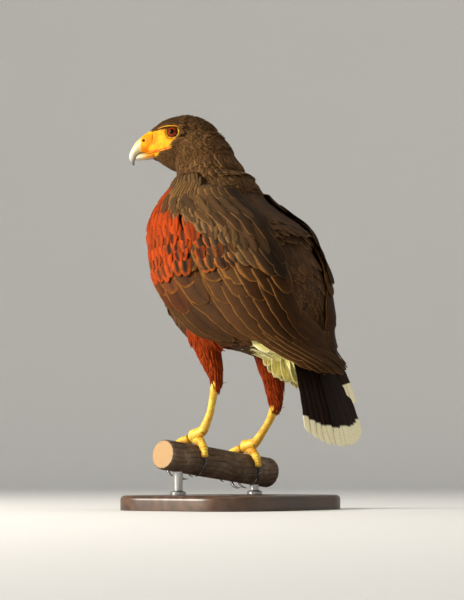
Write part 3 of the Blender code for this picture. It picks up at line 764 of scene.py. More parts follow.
@dataclass(frozen=True)
class WaxFinish(Finish):
    """Smooth bare skin of the cere, gape and lids."""

    name: str
    deep: Colour
    light: Colour
    grain: float = 160.0
    even = {"Roughness": 0.45, "Specular IOR Level": 0.2}

    def paint(self, shader: Shader) -> None:
        """Link mottled wax, darker where the mesh is marked.

        Args:
            shader: Shader of the finish.
        """
        cloud = shader.noise(self.grain)
        fine = shader.noise(900.0, 2.0, 0.6)
        colour = shader.mix(self.deep, self.light, cloud.eased(0.36, 0.62))
        shader.set(base_color=colour.scaled((0.88 + fine * 0.24) * shader.fields("shade")[0]))
        shader.relief(fine * 0.6 + cloud * 0.5, 0.15)


@dataclass(frozen=True)
class BillFinish(Finish):
    """Horn of the bill: stops of colour from its base to the hook, with fine growth lines."""

    name: str
    stops: tuple
    even = {"Roughness": 0.36, "Coat Weight": 0.2, "Coat Roughness": 0.25, "Specular IOR Level": 0.4}

    def paint(self, shader: Shader) -> None:
        """Link the horn's colours, its dark cutting edge and its growth lines.

        Args:
            shader: Shader of the finish.
        """
        along, edge, _ = shader.fields("grow")
        cloud = shader.noise(110.0)
        lines = (along * 160.0 + cloud * 9.0).wave()
        colour = shader.ramp(along + (cloud - 0.5) * 0.12, *self.stops)
        rim = shader.mix(colour, (0.10, 0.075, 0.05), edge.eased(0.55, 1.0) * 0.7)
        shader.set(base_color=rim.scaled(0.97 + lines * 0.03))
        shader.relief(lines * 0.2 + cloud * 0.4, 0.1)


class ClawFinish(Finish):
    """Black horn of the claws, paler where it is worn along the top."""

    name = "claw_horn"
    even = {"Roughness": 0.24, "Coat Weight": 0.4, "Coat Roughness": 0.15}

    def paint(self, shader: Shader) -> None:
        """Link dark horn over a paler root.

        Args:
            shader: Shader of the finish.
        """
        along, top, _ = shader.fields("grow")
        cloud = shader.noise(300.0)
        dark = shader.mix((0.018, 0.014, 0.012), (0.075, 0.055, 0.042), cloud.eased(0.4, 0.7) * top)
        shader.set(base_color=shader.mix((0.12, 0.09, 0.055), dark, along.eased(0.0, 0.16)))
        shader.relief(cloud, 0.1)


class ScaleFinish(Finish):
    """Yellow scaled skin of shanks and toes."""

    name = "leg_scales"
    even = {"Roughness": 0.45, "Specular IOR Level": 0.45}

    def paint(self, shader: Shader) -> None:
        """Link yellow skin with brown seams between scutes and between small scales.

        Args:
            shader: Shader of the finish.
        """
        scute, groove, _ = shader.fields("scale")
        small = shader.cells(520.0, feature="DISTANCE_TO_EDGE").eased(0.0, 0.16)
        cloud = shader.noise(130.0, 4.0)
        lit = shader.mix((0.80, 0.36, 0.012), (0.90, 0.62, 0.07), cloud.eased(0.36, 0.62))
        seam = groove.most((1 - small) * (1 - scute) * 0.7)
        shader.set(base_color=shader.mix(lit, (0.30, 0.13, 0.015), seam * 0.75))
        shader.relief(small * (1 - scute) * 0.8 + cloud * 0.4, 0.3)


class EyeFinish(Finish):
    """Wet eye: chestnut iris with fine spokes round a black pupil."""

    name = "eye_wet"
    even = {"Roughness": 0.03, "Specular IOR Level": 0.07}

    def paint(self, shader: Shader) -> None:
        """Link pupil, spoked iris, its dark rim and the white beyond it.

        Args:
            shader: Shader of the finish.
        """
        radius, turn_c, turn_s = shader.fields("gaze")
        wheel = shader.node("ShaderNodeCombineXYZ", {0: turn_c, 1: turn_s, 2: radius * 0.12})
        spokes = shader.noise(9.0, 3.0, 0.6, wheel)
        iris = shader.mix((0.065, 0.009, 0.002), (0.24, 0.036, 0.005), spokes.eased(0.36, 0.64))
        ringed = shader.mix(iris, (0.030, 0.006, 0.002), radius.eased(0.78, 0.95))
        ringed = shader.mix((0.010, 0.002, 0.001), ringed, radius.eased(0.40, 0.46))
        shader.set(base_color=shader.mix(ringed, (0.02, 0.012, 0.01), radius.eased(0.98, 1.04)))


class BarkFinish(Finish):
    """Grey-brown bark with long cracks and patches of pale lichen, and ringed sawn ends."""

    name = "perch_bark"
    even = {"Roughness": 0.88, "Specular IOR Level": 0.25}
    stops = ((0.3, (0.085, 0.055, 0.036)), (0.55, (0.19, 0.13, 0.09)), (0.75, (0.33, 0.26, 0.19)))

    def paint(self, shader: Shader) -> None:
        """Link bark, cracks and sawn wood by the mesh's marks.

        Args:
            shader: Shader of the finish.
        """
        crack, end, ring = shader.fields("bark")
        cloud = shader.noise(60.0, 5.0, 0.65)
        fine = shader.noise(520.0, 3.0, 0.6, shader.stretched((0.25, 1.0, 1.0)))
        # Cracks are painted nearly black: partly the darker inner bark, partly painted shade deep in them.
        bark = shader.mix(shader.ramp(cloud, *self.stops), (0.03, 0.018, 0.012), crack * 0.85)
        rings = (ring * 58.0 + cloud * 3.0).wave()
        sawn = shader.mix((0.50, 0.33, 0.17), (0.36, 0.21, 0.10), rings.eased(-0.4, 0.9))
        shader.set(base_color=shader.mix(bark, sawn, end).scaled(0.78 + fine * 0.44))
        shader.relief(fine + rings * end * 0.15, 0.5)


class WoodFinish(Finish):
    """Oiled dark wood of the base with its grain along X."""

    name = "base_walnut"
    even = {"Roughness": 0.38, "Coat Weight": 0.25, "Coat Roughness": 0.3}

    def paint(self, shader: Shader) -> None:
        """Link grain, its warp and pores.

        Args:
            shader: Shader of the finish.
        """
        place = shader.stretched((0.14, 1.0, 1.0), (0.0, 0.0, 0.05))
        bands = (shader.noise(16.0, 2.0, at=place) * 46.0).wave()
        grain = shader.noise(190.0, 4.0, 0.7, place)
        pores = shader.noise(1500.0, 2.0, 0.7, shader.stretched((0.4, 1.0, 1.0), at=place))
        colour = shader.mix((0.030, 0.014, 0.007), (0.115, 0.055, 0.026), bands * 0.22 + grain)
        shader.set(base_color=colour.scaled(0.7 + pores * 0.6), roughness=0.28 + grain * 0.2)
        shader.relief(pores * 0.6 + grain * 0.4, 0.12)


class SteelFinish(Finish):
    """Brushed steel of the rods, drawn lengthwise."""

    name = "rod_steel"
    even = {"Metallic": 1.0}

    def paint(self, shader: Shader) -> None:
        """Link the lines of drawing.

        Args:
            shader: Shader of the finish.
        """
        lines = shader.noise(1600.0, 2.0, 0.7, shader.stretched((1.0, 1.0, 0.03)))
        grey = shader.mix((0.42, 0.42, 0.43), (0.62, 0.61, 0.60), lines)
        shader.set(base_color=grey, roughness=0.24 + lines * 0.18)
        shader.relief(lines, 0.03)


class Dye(Enum):
    """Feather colours."""

    BLACKISH = (0.018, 0.007, 0.004)
    DARK = (0.048, 0.020, 0.008)
    BROWN = (0.112, 0.050, 0.016)
    OLIVE = (0.150, 0.076, 0.024)
    SLATE = (0.072, 0.046, 0.026)
    BUFF = (0.250, 0.120, 0.026)
    TAWNY = (0.300, 0.092, 0.011)
    RUFOUS = (0.370, 0.043, 0.002)
    UMBER = (0.040, 0.014, 0.002)
    CREAM = (0.930, 0.850, 0.320)
    CHALK = (0.960, 0.880, 0.580)

    @property
    def rgb(self) -> Array:
        """The colour as an array."""
        return np.array(self.value)


Zone = StrEnum("Zone", (
    "FACE HEAD NAPE NECK BREAST BACK BELLY VENT THIGH SHANK UNDERTAIL "
    "SCAPULAR LESSER MEDIAN GREATER FLIGHT PRIMARY RECTRIX"
))
Zone.__doc__ = "Regions of the plumage, each with its own feathers and markings."


def blend(first: Array, second: Array, share: Array) -> Array:
    """Blend rows of colours by a share for each row."""
    share = np.asarray(share, float)[..., None]
    return first * (1 - share) + second * share


def ripple(points: Array, size: float) -> Array:
    """Smooth uneven values from 0 to 1 over space, with patches of a size in millimetres.

    Args:
        points: Points as rows, in millimetres.
        size: Size of the patches.

    Returns:
        A value for each point.
    """
    x, y, z = (points / size * 2.4).T
    waves = np.sin(x + 1.7 * np.sin(0.8 * y + 0.3)) + np.sin(1.3 * y + 1.1 * np.sin(0.9 * z))
    value = waves + np.sin(0.9 * z + x)
    return np.clip(0.5 + value / 5, 0, 1)


@dataclass(frozen=True)
class Markings:
    """Colours, fringes and streaks of feathers by zone and place, shared by the skin and every coat."""

    rufous_top: float = 352.0
    rufous_low: float = 274.0

    def shoulder(self, points: Array) -> Array:
        """How rufous the shoulder patch is at points, 0 to 1.

        Args:
            points: Points as rows, in millimetres.

        Returns:
            A share for each point.
        """
        angle, height = TRUNK.angle_of(points), points[:, 2]
        lower = self.rufous_low + 26 * (ripple(points, 14) - 0.5) + 0.35 * np.maximum(angle - 60, 0)
        inside = ease(22, 32, angle) * (1 - ease(106, 120, angle))
        return inside * ease(lower - 18, lower + 14, height) * (1 - self.cape(points))

    def cape(self, points: Array) -> Array:
        """How far points lie above the upper edge of the shoulder patch.

        Args:
            points: Points as rows, in millimetres.

        Returns:
            A distance for each point.
        """
        angle = TRUNK.angle_of(points)
        upper = self.rufous_top - 1.5 * np.maximum(angle - 60, 0)
        return ease(upper - 6, upper + 4, points[:, 2])

    def streaks(self, points: Array) -> Array:
        """How far rufous runs down from the shoulder patch in streaks.

        Args:
            points: Points as rows, in millimetres.

        Returns:
            A share for each point.
        """
        angle, height = TRUNK.angle_of(points), points[:, 2]
        inside = ease(22, 32, angle) * (1 - ease(88, 110, angle))
        above = ease(226, 250, height - 0.45 * np.maximum(angle - 62, 0))
        return inside * above * (1 - ease(340, 352, height))

    def look(self, zone: Zone, points: Array, cloud: Array, fine: Array) -> tuple:
        """Markings of feathers as single values or as rows.

        Args:
            zone: Their zone.
            points: A place for each feather, in millimetres.
            cloud: Broad mottling at the places.
            fine: Fine mottling at the places.

        Returns:
            Dye, fringe, width of the fringe in half widths, and strength of the dark shaft streak.
        """
        blackish, dark, brown, olive, slate, buff, tawny, rufous, umber, cream, chalk = (
            dye.rgb for dye in Dye
        )
        x, y, height = points.T
        angle = TRUNK.angle_of(points)
        match zone:
            case Zone.FACE | Zone.HEAD:
                crown = ease(8, 20, HEAD.own(points)[:, 1])
                dye = blend(blend(brown, olive, 0.25 + 0.5 * cloud), dark * 1.6, 0.5 * crown)
                return dye, blend(dye * 1.4, buff, 0.18), 0.3, 0.3
            case Zone.NECK | Zone.NAPE:
                dye = blend(blend(dark, olive, 0.35 + 0.4 * cloud), brown, ease(372, 392, height) * 0.6)
                return dye, blend(dye * 1.45, olive * 1.3, 0.3 + 0.4 * fine), 0.3, 0.25
            case Zone.BREAST | Zone.BELLY:
                patch = self.shoulder(points)
                fringe = blend(blend(brown * 1.2, olive, 0.5 * fine), rufous * 1.1, np.maximum(patch, 0.06))
                return blend(blend(dark, brown, cloud), rufous, patch), fringe, 0.25 + 0.1 * fine, 0.35
            case Zone.BACK:
                dye = blend(blend(dark, brown, 0.3 + 0.6 * cloud), slate, 0.35 * fine)
                dye = blend(dye, cream, (1 - ease(186, 194, height)) * ease(92, 100, y))
                return dye, blend(dye * 1.5, olive * 1.3, 0.5), 0.2, 0.2
            case Zone.VENT | Zone.UNDERTAIL:
                return cream * (0.85 + 0.15 * fine[:, None]), chalk, 0.3, 0.0
            case Zone.THIGH | Zone.SHANK:
                inner = ease(-5, 12, np.where(x > 0, y, y - 18))
                worn = np.clip(0.25 * (1 - ease(140, 190, height)) + 0.5 * inner * fine, 0, 1)
                fringe = blend(rufous * 1.25, tawny, 0.25 * fine)
                return blend(rufous, rufous * 0.42, worn), fringe, 0.3, 0.3 + 0.3 * fine
            case Zone.SCAPULAR:
                dye = blend(blend(brown, olive, 0.25 + 0.6 * cloud), slate, 0.55 * fine)
                dye = blend(dye * 0.8, dark * 1.2, 0.5 * (1 - ease(300, 330, height)) * fine)
                # Painted shade: scapulars darken towards their rear edge, standing for the shade in the
                # crease between the wing and the back.
                dye = dye * (1 - 0.6 * ease(136, 150, angle)[:, None])
                return dye, blend(dye * 1.5, buff, 0.3), 0.12, 0.2
            case Zone.LESSER:
                patch, run = self.shoulder(points), self.streaks(points)
                top = self.cape(points) * ease(44, 56, angle)
                whole = np.maximum(patch, run * ease(0.5, 0.72, ripple(points, 11)))
                dye = blend(blend(umber, brown, 0.2 + 0.5 * fine), rufous, whole)
                dye = blend(dye, blend(olive, slate, 0.6 * fine), top)
                fringe = blend(blend(buff, tawny, 0.6), rufous * 1.05, np.clip(patch + run, 0, 1))
                width = 0.2 + run * (1 - patch) * (0.25 + 0.6 * cloud)
                return dye, blend(fringe, olive * 1.3, top), width, 0.6 - 0.4 * whole
            case Zone.MEDIAN:
                front = 1 - ease(70, 96, angle)
                dye = blend(blend(umber, brown, 0.5 * cloud), rufous * 0.6, 0.22 * front)
                return dye, blend(buff, tawny, 0.35 + 0.6 * front) * 0.72, 0.2, 0.3
            case Zone.GREATER:
                front = 1 - ease(66, 90, angle)
                dye = blend(blend(umber, brown, 0.45 * cloud), rufous * 0.6, 0.2 * front)
                return dye, blend(buff, tawny, 0.3 + 0.4 * front) * 0.66, 0.13, 0.2
            case Zone.FLIGHT:
                return blend(umber, brown, 0.4 * cloud), blend(buff, tawny, 0.25) * 0.66, 0.09, 0.15
            case Zone.PRIMARY:
                return blend(umber, brown, 0.3 * cloud), buff * 0.7, 0.07, 0.15
            case Zone.RECTRIX:
                return blackish, chalk, 0.003, -0.175 - 0.15 * ease(92, 104, height)

    def paint(self, zone: Zone, points: Array) -> tuple[Array, Array, Array, Array]:
        """Markings of feathers as rows; its arguments and what it returns are those of look.

        Args:
            zone: Zone of the plumage.
            points: Points as rows, in millimetres.

        Returns:
            Four arrays of rows.
        """
        *colours, width, streak = self.look(zone, points, ripple(points, 22), ripple(points, 6))
        colours = (np.broadcast_to(colour, (len(points), 3)) for colour in colours)
        return *colours, np.broadcast_to(width, len(points)), np.broadcast_to(streak, len(points))


MARKINGS = Markings()


def unwrap(zone: Zone, roots: Array) -> Array:
    """Places of feather roots on the unwrapped skin, each region of the body in its own panel.

    Args:
        zone: Zone of the feathers, which gives their panel.
        roots: Their roots, in millimetres.

    Returns:
        Two numbers from 0 to 1 for each root.
    """
    if zone in (Zone.FACE, Zone.HEAD, Zone.NAPE):
        own = HEAD.own(roots)
        turn = np.arctan2(own[:, 2], own[:, 1] + 6) / math.tau + 0.5
        return np.stack([0.02 + 0.40 * turn, 0.78 + 0.19 * (own[:, 0] + 50) / 100], axis=1)
    if zone in (Zone.THIGH, Zone.SHANK):
        left = roots[:, 0] > 0
        centre = np.where(left, 0.0, 18.0)
        turn = np.arctan2(np.abs(roots[:, 0]) - 45, roots[:, 1] - centre) / math.tau + 0.5
        column = np.where(left, 0.46, 0.73)
        return np.stack([column + 0.24 * turn, 0.78 + 0.19 * (roots[:, 2] - 95) / 130], axis=1)
    if zone in (Zone.UNDERTAIL, Zone.RECTRIX):
        own = TAIL.own(roots)
        turn = np.arctan2(own[:, 1], own[:, 2] + 12) / math.tau + 0.5
        return np.stack([0.02 + 0.95 * turn, 0.02 + 0.12 * (own[:, 0] + 20) / 180], axis=1)
    angle = TRUNK.angle_of(roots) * np.sign(roots[:, 0] + 1e-6)
    turn = angle / 360 + 0.5
    return np.stack([0.02 + 0.95 * turn, 0.17 + 0.58 * (roots[:, 2] - 120) / 300], axis=1)


@dataclass(frozen=True)
class Blade:
    """Grid of a feather blade, its outline, and how it arches.

    Widths are shares of the half width at shares of the length. Camber arches it across, bend along, both in
    half widths.
    """

    columns: int = 5
    rows: int = 7
    outline: tuple = ((0, 0.3), (0.12, 0.72), (0.35, 1.0), (1.0, 1.0))
    camber: float = 0.22
    bend: float = 0.5
    thickness: float = 0.06
    round_from: float = 0.55

    @property
    def across(self) -> Array:
        """Places of the columns, -1 to 1."""
        return np.linspace(-1, 1, self.columns)

    @property
    def along(self) -> Array:
        """Places of the rows, closer towards the tip."""
        return 1 - (1 - np.linspace(0, 1, self.rows)) ** 1.5

    @property
    def widths(self) -> Array:
        """Outline at the rows, with a round end.

        Returns:
            A share of the half width for each row.
        """
        shares, widths = np.array(self.outline).T
        end = np.clip((self.along - self.round_from) / (1 - self.round_from), 0, 1)
        return np.interp(self.along, shares, widths) * np.maximum(np.sqrt(1 - end**2), 0.14)

    def faces(self) -> Array:
        """Quads of the closed blade: its upper side, its lower side and its rim.

        Returns:
            Point numbers of each face.
        """
        c, r = self.columns, self.rows
        a = (np.arange(r - 1)[:, None] * c + np.arange(c - 1)).ravel()
        upper = np.stack([a, a + 1, a + 1 + c, a + c], axis=1)
        under = upper[:, ::-1] + c * r
        rim = list(range(c - 1)) + [k * c + c - 1 for k in range(r - 1)]
        rim += [(r - 1) * c + k for k in range(c - 1, 0, -1)] + [k * c for k in range(r - 1, 0, -1)]
        rim = np.array(rim)
        after = np.roll(rim, -1)
        sides = np.stack([rim, rim + c * r, after + c * r, after], axis=1)
        return np.concatenate([upper, under, sides])

    def leaf(self, tone: float) -> Array:
        """Across, along and tone of every point.

        Args:
            tone: Tone of this blade.

        Returns:
            Three numbers for each point.
        """
        across, along = np.meshgrid(self.across, self.along)
        grid = np.stack([across.ravel(), along.ravel(), np.full(across.size, tone)], axis=1)
        return np.concatenate([grid, grid])

    def template(self, name: str) -> Piece:
        """Flat blade one millimetre long and one in half width, for scattering.

        Args:
            name: Name of the piece.

        Returns:
            The blade.
        """
        across, along = np.meshgrid(self.across, self.along)
        x = across * self.widths[:, None]
        z = -self.camber * x**2 - self.bend * along**2
        upper = np.stack([x, along - 0.02 * across**2, z], axis=-1).reshape(-1, 3)
        points = np.concatenate([upper, upper - (0, 0, self.thickness)])
        return mesh_piece(name, points, self.faces().tolist(), {"leaf": self.leaf(0.5)})

    def ragged(self, chance: Chance) -> Array:
        """Uneven edges and a notch or two where barbs have parted, as factors for every row and column.

        Args:
            chance: Source of random values.

        Returns:
            Factors as rows by columns.
        """
        rows = np.arange(self.rows)[:, None]
        factor = 1 + 0.035 * np.sin(rows * 1.9 + chance.uniform(0, 6)) * np.ones((1, self.columns))
        for _ in range(chance.integers(0, 3)):
            row = chance.integers(self.rows // 2, self.rows - 2)
            side = chance.integers(0, 2) * (self.columns - 1)
            factor[row, side] *= chance.uniform(0.72, 0.9)
        return factor[..., None]

    def sweep(self, centre: Array, normal: Array, half: Array, tilt: float, frayed: Array) -> Array:
        """Blade along a path.

        Args:
            centre: Points of its shaft, one for each row.
            normal: Outward directions there.
            half: Half widths there.
            tilt: Slope across, which lays one blade over the next.
            frayed: Factors of the half width for every row and column.

        Returns:
            Points of the closed blade.
        """
        ahead = unit(np.gradient(centre, axis=0))
        normal = unit(normal - ahead * np.sum(normal * ahead, axis=1, keepdims=True))
        side = np.cross(normal, ahead)
        a = self.across[None, :, None]
        wide = half[:, None, None]
        rise = (tilt * a - self.camber * a**2) * wide
        upper = centre[:, None] + side[:, None] * a * wide * frayed + normal[:, None] * rise
        lower = upper - normal[:, None] * self.thickness * max(half.max(), 1)
        return np.concatenate([upper.reshape(-1, 3), lower.reshape(-1, 3)])


def feather_marks(zone: Zone, places: Array, roots: Array, aspects: Array, leaf: Array) -> dict[str, Array]:
    """Attributes of the points of some feathers of one zone.

    Args:
        zone: Their zone.
        places: Where their markings are read.
        roots: Their roots, in millimetres.
        aspects: Their lengths in half widths.
        leaf: Across, along and tone of every point of every feather.

    Returns:
        Values for every point, by attribute name.
    """
    dye, fringe, width, streak = MARKINGS.paint(zone, places)
    flat = np.column_stack([unwrap(zone, roots), np.zeros(len(roots))])
    rows = {"dye": dye, "fringe": fringe, "trim": np.stack([width, aspects, streak], axis=1), "unwrap": flat}
    count = len(leaf) // len(roots)
    return {"leaf": leaf} | {name: np.repeat(values, count, axis=0) for name, values in rows.items()}


class Coat:
    """Feather blades gathered into one piece, with the attributes that its finish reads."""

    def __init__(self, name: str, blade: Blade) -> None:
        """Start an empty coat of one kind of blade.

        Args:
            name: Name of the piece.
            blade: Form of its feathers.
        """
        self.name = name
        self.blade = blade
        self.points: list[Array] = []
        self.faces: list[Array] = []
        self.marks: list[dict] = []

    def add(self, points: Array, zone: Zone, place: Array, aspect: float, tone: float, flip: bool) -> None:
        """Add a blade.

        Args:
            points: Its points.
            zone: Its zone.
            place: Where its markings are read.
            aspect: Its length in half widths.
            tone: Its lightness from 0 to 1.
            flip: Whether its faces are turned over.
        """
        faces = self.blade.faces() + len(points) * len(self.points)
        root = points[: self.blade.columns].mean(axis=0)
        self.points.append(points)
        self.faces.append(faces[:, ::-1] if flip else faces)
        leaf = self.blade.leaf(tone)
        self.marks.append(feather_marks(zone, place[None], root[None], np.array([aspect]), leaf))

    def piece(self, material: Material, slot: str, *nodes: str) -> Piece:
        """Make the piece and hand it in with its map.

        Args:
            material: Material that it wears.
            slot: Its slot.
            nodes: Nodes that it replaces or rides.

        Returns:
            The piece.
        """
        attributes = {name: np.concatenate([marks[name] for marks in self.marks]) for name in self.marks[0]}
        faces = np.concatenate(self.faces).tolist()
        piece = mesh_piece(self.name, np.concatenate(self.points), faces, attributes)
        piece.data.shade_smooth()
        bake_map(piece)
        return finish_piece(piece, material, slot, *nodes)


@dataclass
class Skin:
    """One skin under the plumage: trunk, neck, head, thighs and the root of the tail."""

    voxel: float = 1.7
    breast_inset: float = 6.5
    back_inset: float = 6.0
    wing_inset: float = 8.5
    vent: tuple = ((158, 52, 92, 16), (163, 34, 97, 30), (170, 12, 100, 42))
    neck: tuple = (
        ((0.0, -25.0, 360), 40, 43.0),
        ((0.0, -29.5, 372), 38, 39.0),
        ((0.5, -31.5, 381), 37, 38.0),
        ((1.5, -36.5, 392), 33.0, 35.5),
        ((3.5, -40.0, 404), 29.0, 34.0),
        ((6.0, -44.5, 416), 23.0, 28.0),
    )
    thighs: dict = field(default_factory=lambda: {
        Side.LEFT: (
            ((44, -10, 206), 20, 24),
            ((46, -6, 192), 19, 22),
            ((46, -1, 178), 17, 18),
            ((45, 4, 162), 14, 14),
            ((44, 8, 148), 10, 10.5),
            ((43.5, 9, 137), 7, 7.5),
        ),
        Side.RIGHT: (
            ((-46, 6, 206), 20, 24),
            ((-46, 12, 186), 19, 22),
            ((-45, 19, 165), 17, 18),
            ((-44, 25, 144), 14, 14),
            ((-42.5, 28, 126), 10, 11),
            ((-42, 28, 112), 7, 7.5),
        ),
    })
    tail_core: tuple = (
        (0, 25, 9, -46), (20, 26, 8, -48), (42, 23, 6, -41), (58, 19, 4, -27), (76, 14, 1.5, -9),
    )
    eye: tuple = (8.2, 6.6, 15.2)
    eye_aim: tuple = (0.34, 0.02, 0.94)
    brow: tuple = (11.0, 14.0, 18.2)
    brow_size: tuple = (13.5, 2.6, 4.4)
    brow_turn: float = 24.0
    socket: tuple = (6.2, 8.4)
    socket_floor: float = -2.0

    def inset(self, angle: Array, height: float) -> Array:
        """Depth of the skin under the outer form of the trunk.

        Args:
            angle: Angle round the form, in degrees.
            height: Height over the floor.

        Returns:
            A depth for each point.
        """
        turn = np.abs((angle + 180) % 360 - 180)
        back = self.back_inset + 10 * (1 - ease(195, 240, height))
        plain_skin = self.breast_inset + (back - self.breast_inset) * ease(60, 120, turn)
        wing = ease(34, 54, turn) * (1 - ease(158, 178, turn)) * (1 - ease(330, 354, height))
        return (plain_skin + (self.wing_inset - plain_skin) * wing) * (1 - 0.35 * ease(340, 368, height))

    def trunk_rings(self) -> list[Array]:
        """Rings of the trunk from the vent up to the shoulders.

        Returns:
            The rings.
        """
        angle = turns(64, 360)
        rings = []
        for height, front, back, wide in self.vent:
            x, y = rounded(angle, wide - 3.0, (back - front) / 2 - 3.0, 2.2)
            rings.append(np.stack([x, y + (front + back) / 2, np.full(64, height + 3.0)], axis=1))
        for height in np.arange(180.0, 373.0, 8.0):
            level = np.full(64, height)
            ring = TRUNK.point(angle, level) - TRUNK.normal(angle, level) * self.inset(angle, height)[:, None]
            ring[:, 2] = height
            rings.append(ring)
        return rings

    def head_rings(self) -> list[Array]:
        """Rings of the head from its nape to the cere.

        Returns:
            The rings.
        """
        first = list(HEAD.sections[0][1:])
        rings = [HEAD.ring(-40 - back, first, 1.5, shrink, 48) for shrink, back in ((0.35, 3.0), (0.72, 1.6))]
        for forward in np.linspace(-40, 37.4, 27):
            rings.append(HEAD.ring(forward, through(HEAD.sections, forward), 1.0, 1.0, 48))
        return rings

    def level_rings(self, stations: tuple, less: float) -> list[Array]:
        """Level rings of a neck or thigh, with its half sizes made less.

        Args:
            stations: Centre and half sizes of each ring.
            less: What the half sizes lose.

        Returns:
            The rings.
        """
        rings = []
        for centre, wide, deep in stations:
            x, y = rounded(turns(32, 360), wide - less, deep - less, 2.1)
            rings.append(np.stack([x, y, np.zeros(32)], axis=1) + np.array(centre))
        return rings

    def tail_rings(self) -> list[Array]:
        """Rings of the root of the tail.

        Returns:
            The rings.
        """
        rings = []
        for place, wide, top, low in self.tail_core:
            x, y = rounded(turns(32, 360), wide - 3.0, max((top - low) / 2 - 3.0, 1.5), 2.3)
            rings.append(TAIL.place(np.full(32, place), x, y + (top + low) / 2))
        return rings

    def brow_rings(self, side: Side) -> list[Array]:
        """Rings of the ridge over an eye, a squashed ball.

        Args:
            side: Side of the bird.

        Returns:
            The rings.
        """
        rings = []
        turn = math.radians(-self.brow_turn * side.value)
        c, s = math.cos(turn), math.sin(turn)
        swing = np.array([[c, 0, s], [0, 1, 0], [-s, 0, c]])
        middle = np.array([*self.brow[:2], self.brow[2] * side.value])
        c, s = np.cos(turns(16)), np.sin(turns(16))
        for polar in np.radians(np.linspace(8, 172, 12)):
            ball = np.stack([np.full(16, math.cos(polar)), math.sin(polar) * c, math.sin(polar) * s], axis=1)
            rings.append(HEAD.place(*(ball * self.brow_size @ swing + middle).T))
        return rings

    def eye_frame(self, side: Side) -> tuple[Array, Array]:
        """Centre and outward direction of an eye."""
        centre = HEAD.place(*self.eye[:2], self.eye[2] * side.value)
        aim = np.array([*self.eye_aim[:2], self.eye_aim[2] * side.value])
        return centre.reshape(3), unit(aim @ HEAD.axes)

    def build(self) -> Piece:
        """Join the forms into one smooth mesh with eye sockets, without its attributes yet.

        Returns:
            The skin.
        """
        forms = [self.trunk_rings(), self.head_rings(), self.level_rings(self.neck, 2.0), self.tail_rings()]
        forms += [self.level_rings(stations, 2.5) for stations in self.thighs.values()]
        whole = joined([loft(rings) for rings in forms + [self.brow_rings(side) for side in Side]])
        skin = outward(mesh_piece("skin", whole.points, whole.faces, {}))
        remesh = skin.modifiers.new("join", "REMESH")
        remesh.mode = "VOXEL"
        remesh.voxel_size = self.voxel * MM
        soften = skin.modifiers.new("soften", "SMOOTH")
        soften.factor = 0.5
        soften.iterations = 9
        self.sink_sockets(plain(skin))
        skin.data.shade_smooth()
        return skin

    def sink_sockets(self, skin: Piece) -> None:
        """Let the skin in round the eyeballs.

        Args:
            skin: The skin.
        """
        points = points_of(skin)
        for side in Side:
            centre, aim = self.eye_frame(side)
            offset = points - centre
            depth = offset @ aim
            radius = np.linalg.norm(offset - depth[:, None] * aim, axis=1)
            near = (depth > 0) & (radius < self.socket[1])
            target = self.socket_floor + (depth[near] - self.socket_floor) * ease(*self.socket, radius[near])
            points[near] += (target - depth[near])[:, None] * aim
        skin.data.vertices.foreach_set("co", (points * MM).astype(np.float32).ravel())
        skin.data.update()

    def bare(self, points: Array) -> Array:
        """How bare the face is at points, from the cere back under the eye.

        Args:
            points: Points as rows, in millimetres.

        Returns:
            A share for each point.
        """
        forward, up, _ = HEAD.own(points).T
        top = np.interp(forward, [2, 4.4, 16, 24.2, 37.4], [6, 11.4, 11.6, 11.0, 7.2])
        low = np.interp(forward, [10, 14, 23, 27, 38], [-8, -10.5, -13.0, -18, -23])
        back = np.interp(up, [-11, -4, 0, 8, 13], [15.5, 10.5, 6, 5, 8])
        head = ease(370, 378, points[:, 2]) * ease(-8, 0, forward)
        return head * ease(-0.8, 0.8, top - up) * ease(-0.8, 0.8, up - low) * ease(-0.8, 0.8, forward - back)

    def on_head(self, points: Array) -> Array:
        """How far points belong to the head, not the neck.

        Args:
            points: Points as rows, in millimetres.

        Returns:
            A share for each point.
        """
        forward, up, _ = HEAD.own(points).T
        chin = np.interp(forward, [-45, -30, 0, 12], [-8, -16, -28, -36])
        return ease(-4, 4, up - chin) * ease(-52, -40, forward)

    def on_thigh(self, points: Array) -> Array:
        """How far points belong to a thigh.

        Args:
            points: Points as rows, in millimetres.

        Returns:
            A share for each point.
        """
        share = np.zeros(len(points))
        for stations in self.thighs.values():
            rows = np.array([[c[2], c[0], c[1], max(w, d)] for c, w, d in reversed(stations)])
            x, y, r = (np.interp(points[:, 2], rows[:, 0], rows[:, k]) for k in (1, 2, 3))
            distance = np.hypot(points[:, 0] - x, points[:, 1] - y)
            share = np.maximum(share, 1 - ease(1.0, 1.25, distance / r))
        return share * (1 - ease(192, 202, points[:, 2]))

    def on_tail(self, points: Array) -> Array:
        """How far points belong to the root of the tail."""
        own = TAIL.own(points)
        return ease(8, 22, own[:, 0]) * ease(40, 50, points[:, 1]) * (1 - ease(176, 190, points[:, 2]))

    def lie(self, points: Array) -> Array:
        """Direction in which feathers lie at points.

        Args:
            points: Points as rows, in millimetres.

        Returns:
            Unit vectors as rows.
        """
        head, thigh, tail = (share[:, None] for share in (
            self.on_head(points), self.on_thigh(points), self.on_tail(points),
        ))
        forward, up, _ = HEAD.own(points).T
        fall = 0.25 + 0.55 * (1 - ease(-22, 12, up)) + 0.5 * (1 - ease(-30, 0, forward))
        over_head = -np.array(HEAD.axes[0]) + fall[:, None] * np.array([0, 0, -1.0])
        height = points[:, 2]
        rearward = 0.25 + 1.6 * (1 - ease(165, 205, height)) - 0.15 * ease(340, 380, height)
        trunk = np.stack([np.zeros(len(points)), rearward, -np.ones(len(points))], axis=1)
        down_leg = np.array([0.0, 0.22, -1.0])
        way = unit(trunk) * (1 - thigh) + unit(down_leg) * thigh
        way = way * (1 - tail) + TAIL.axes[0] * tail
        return unit(unit(way) * (1 - head) + unit(over_head) * head)

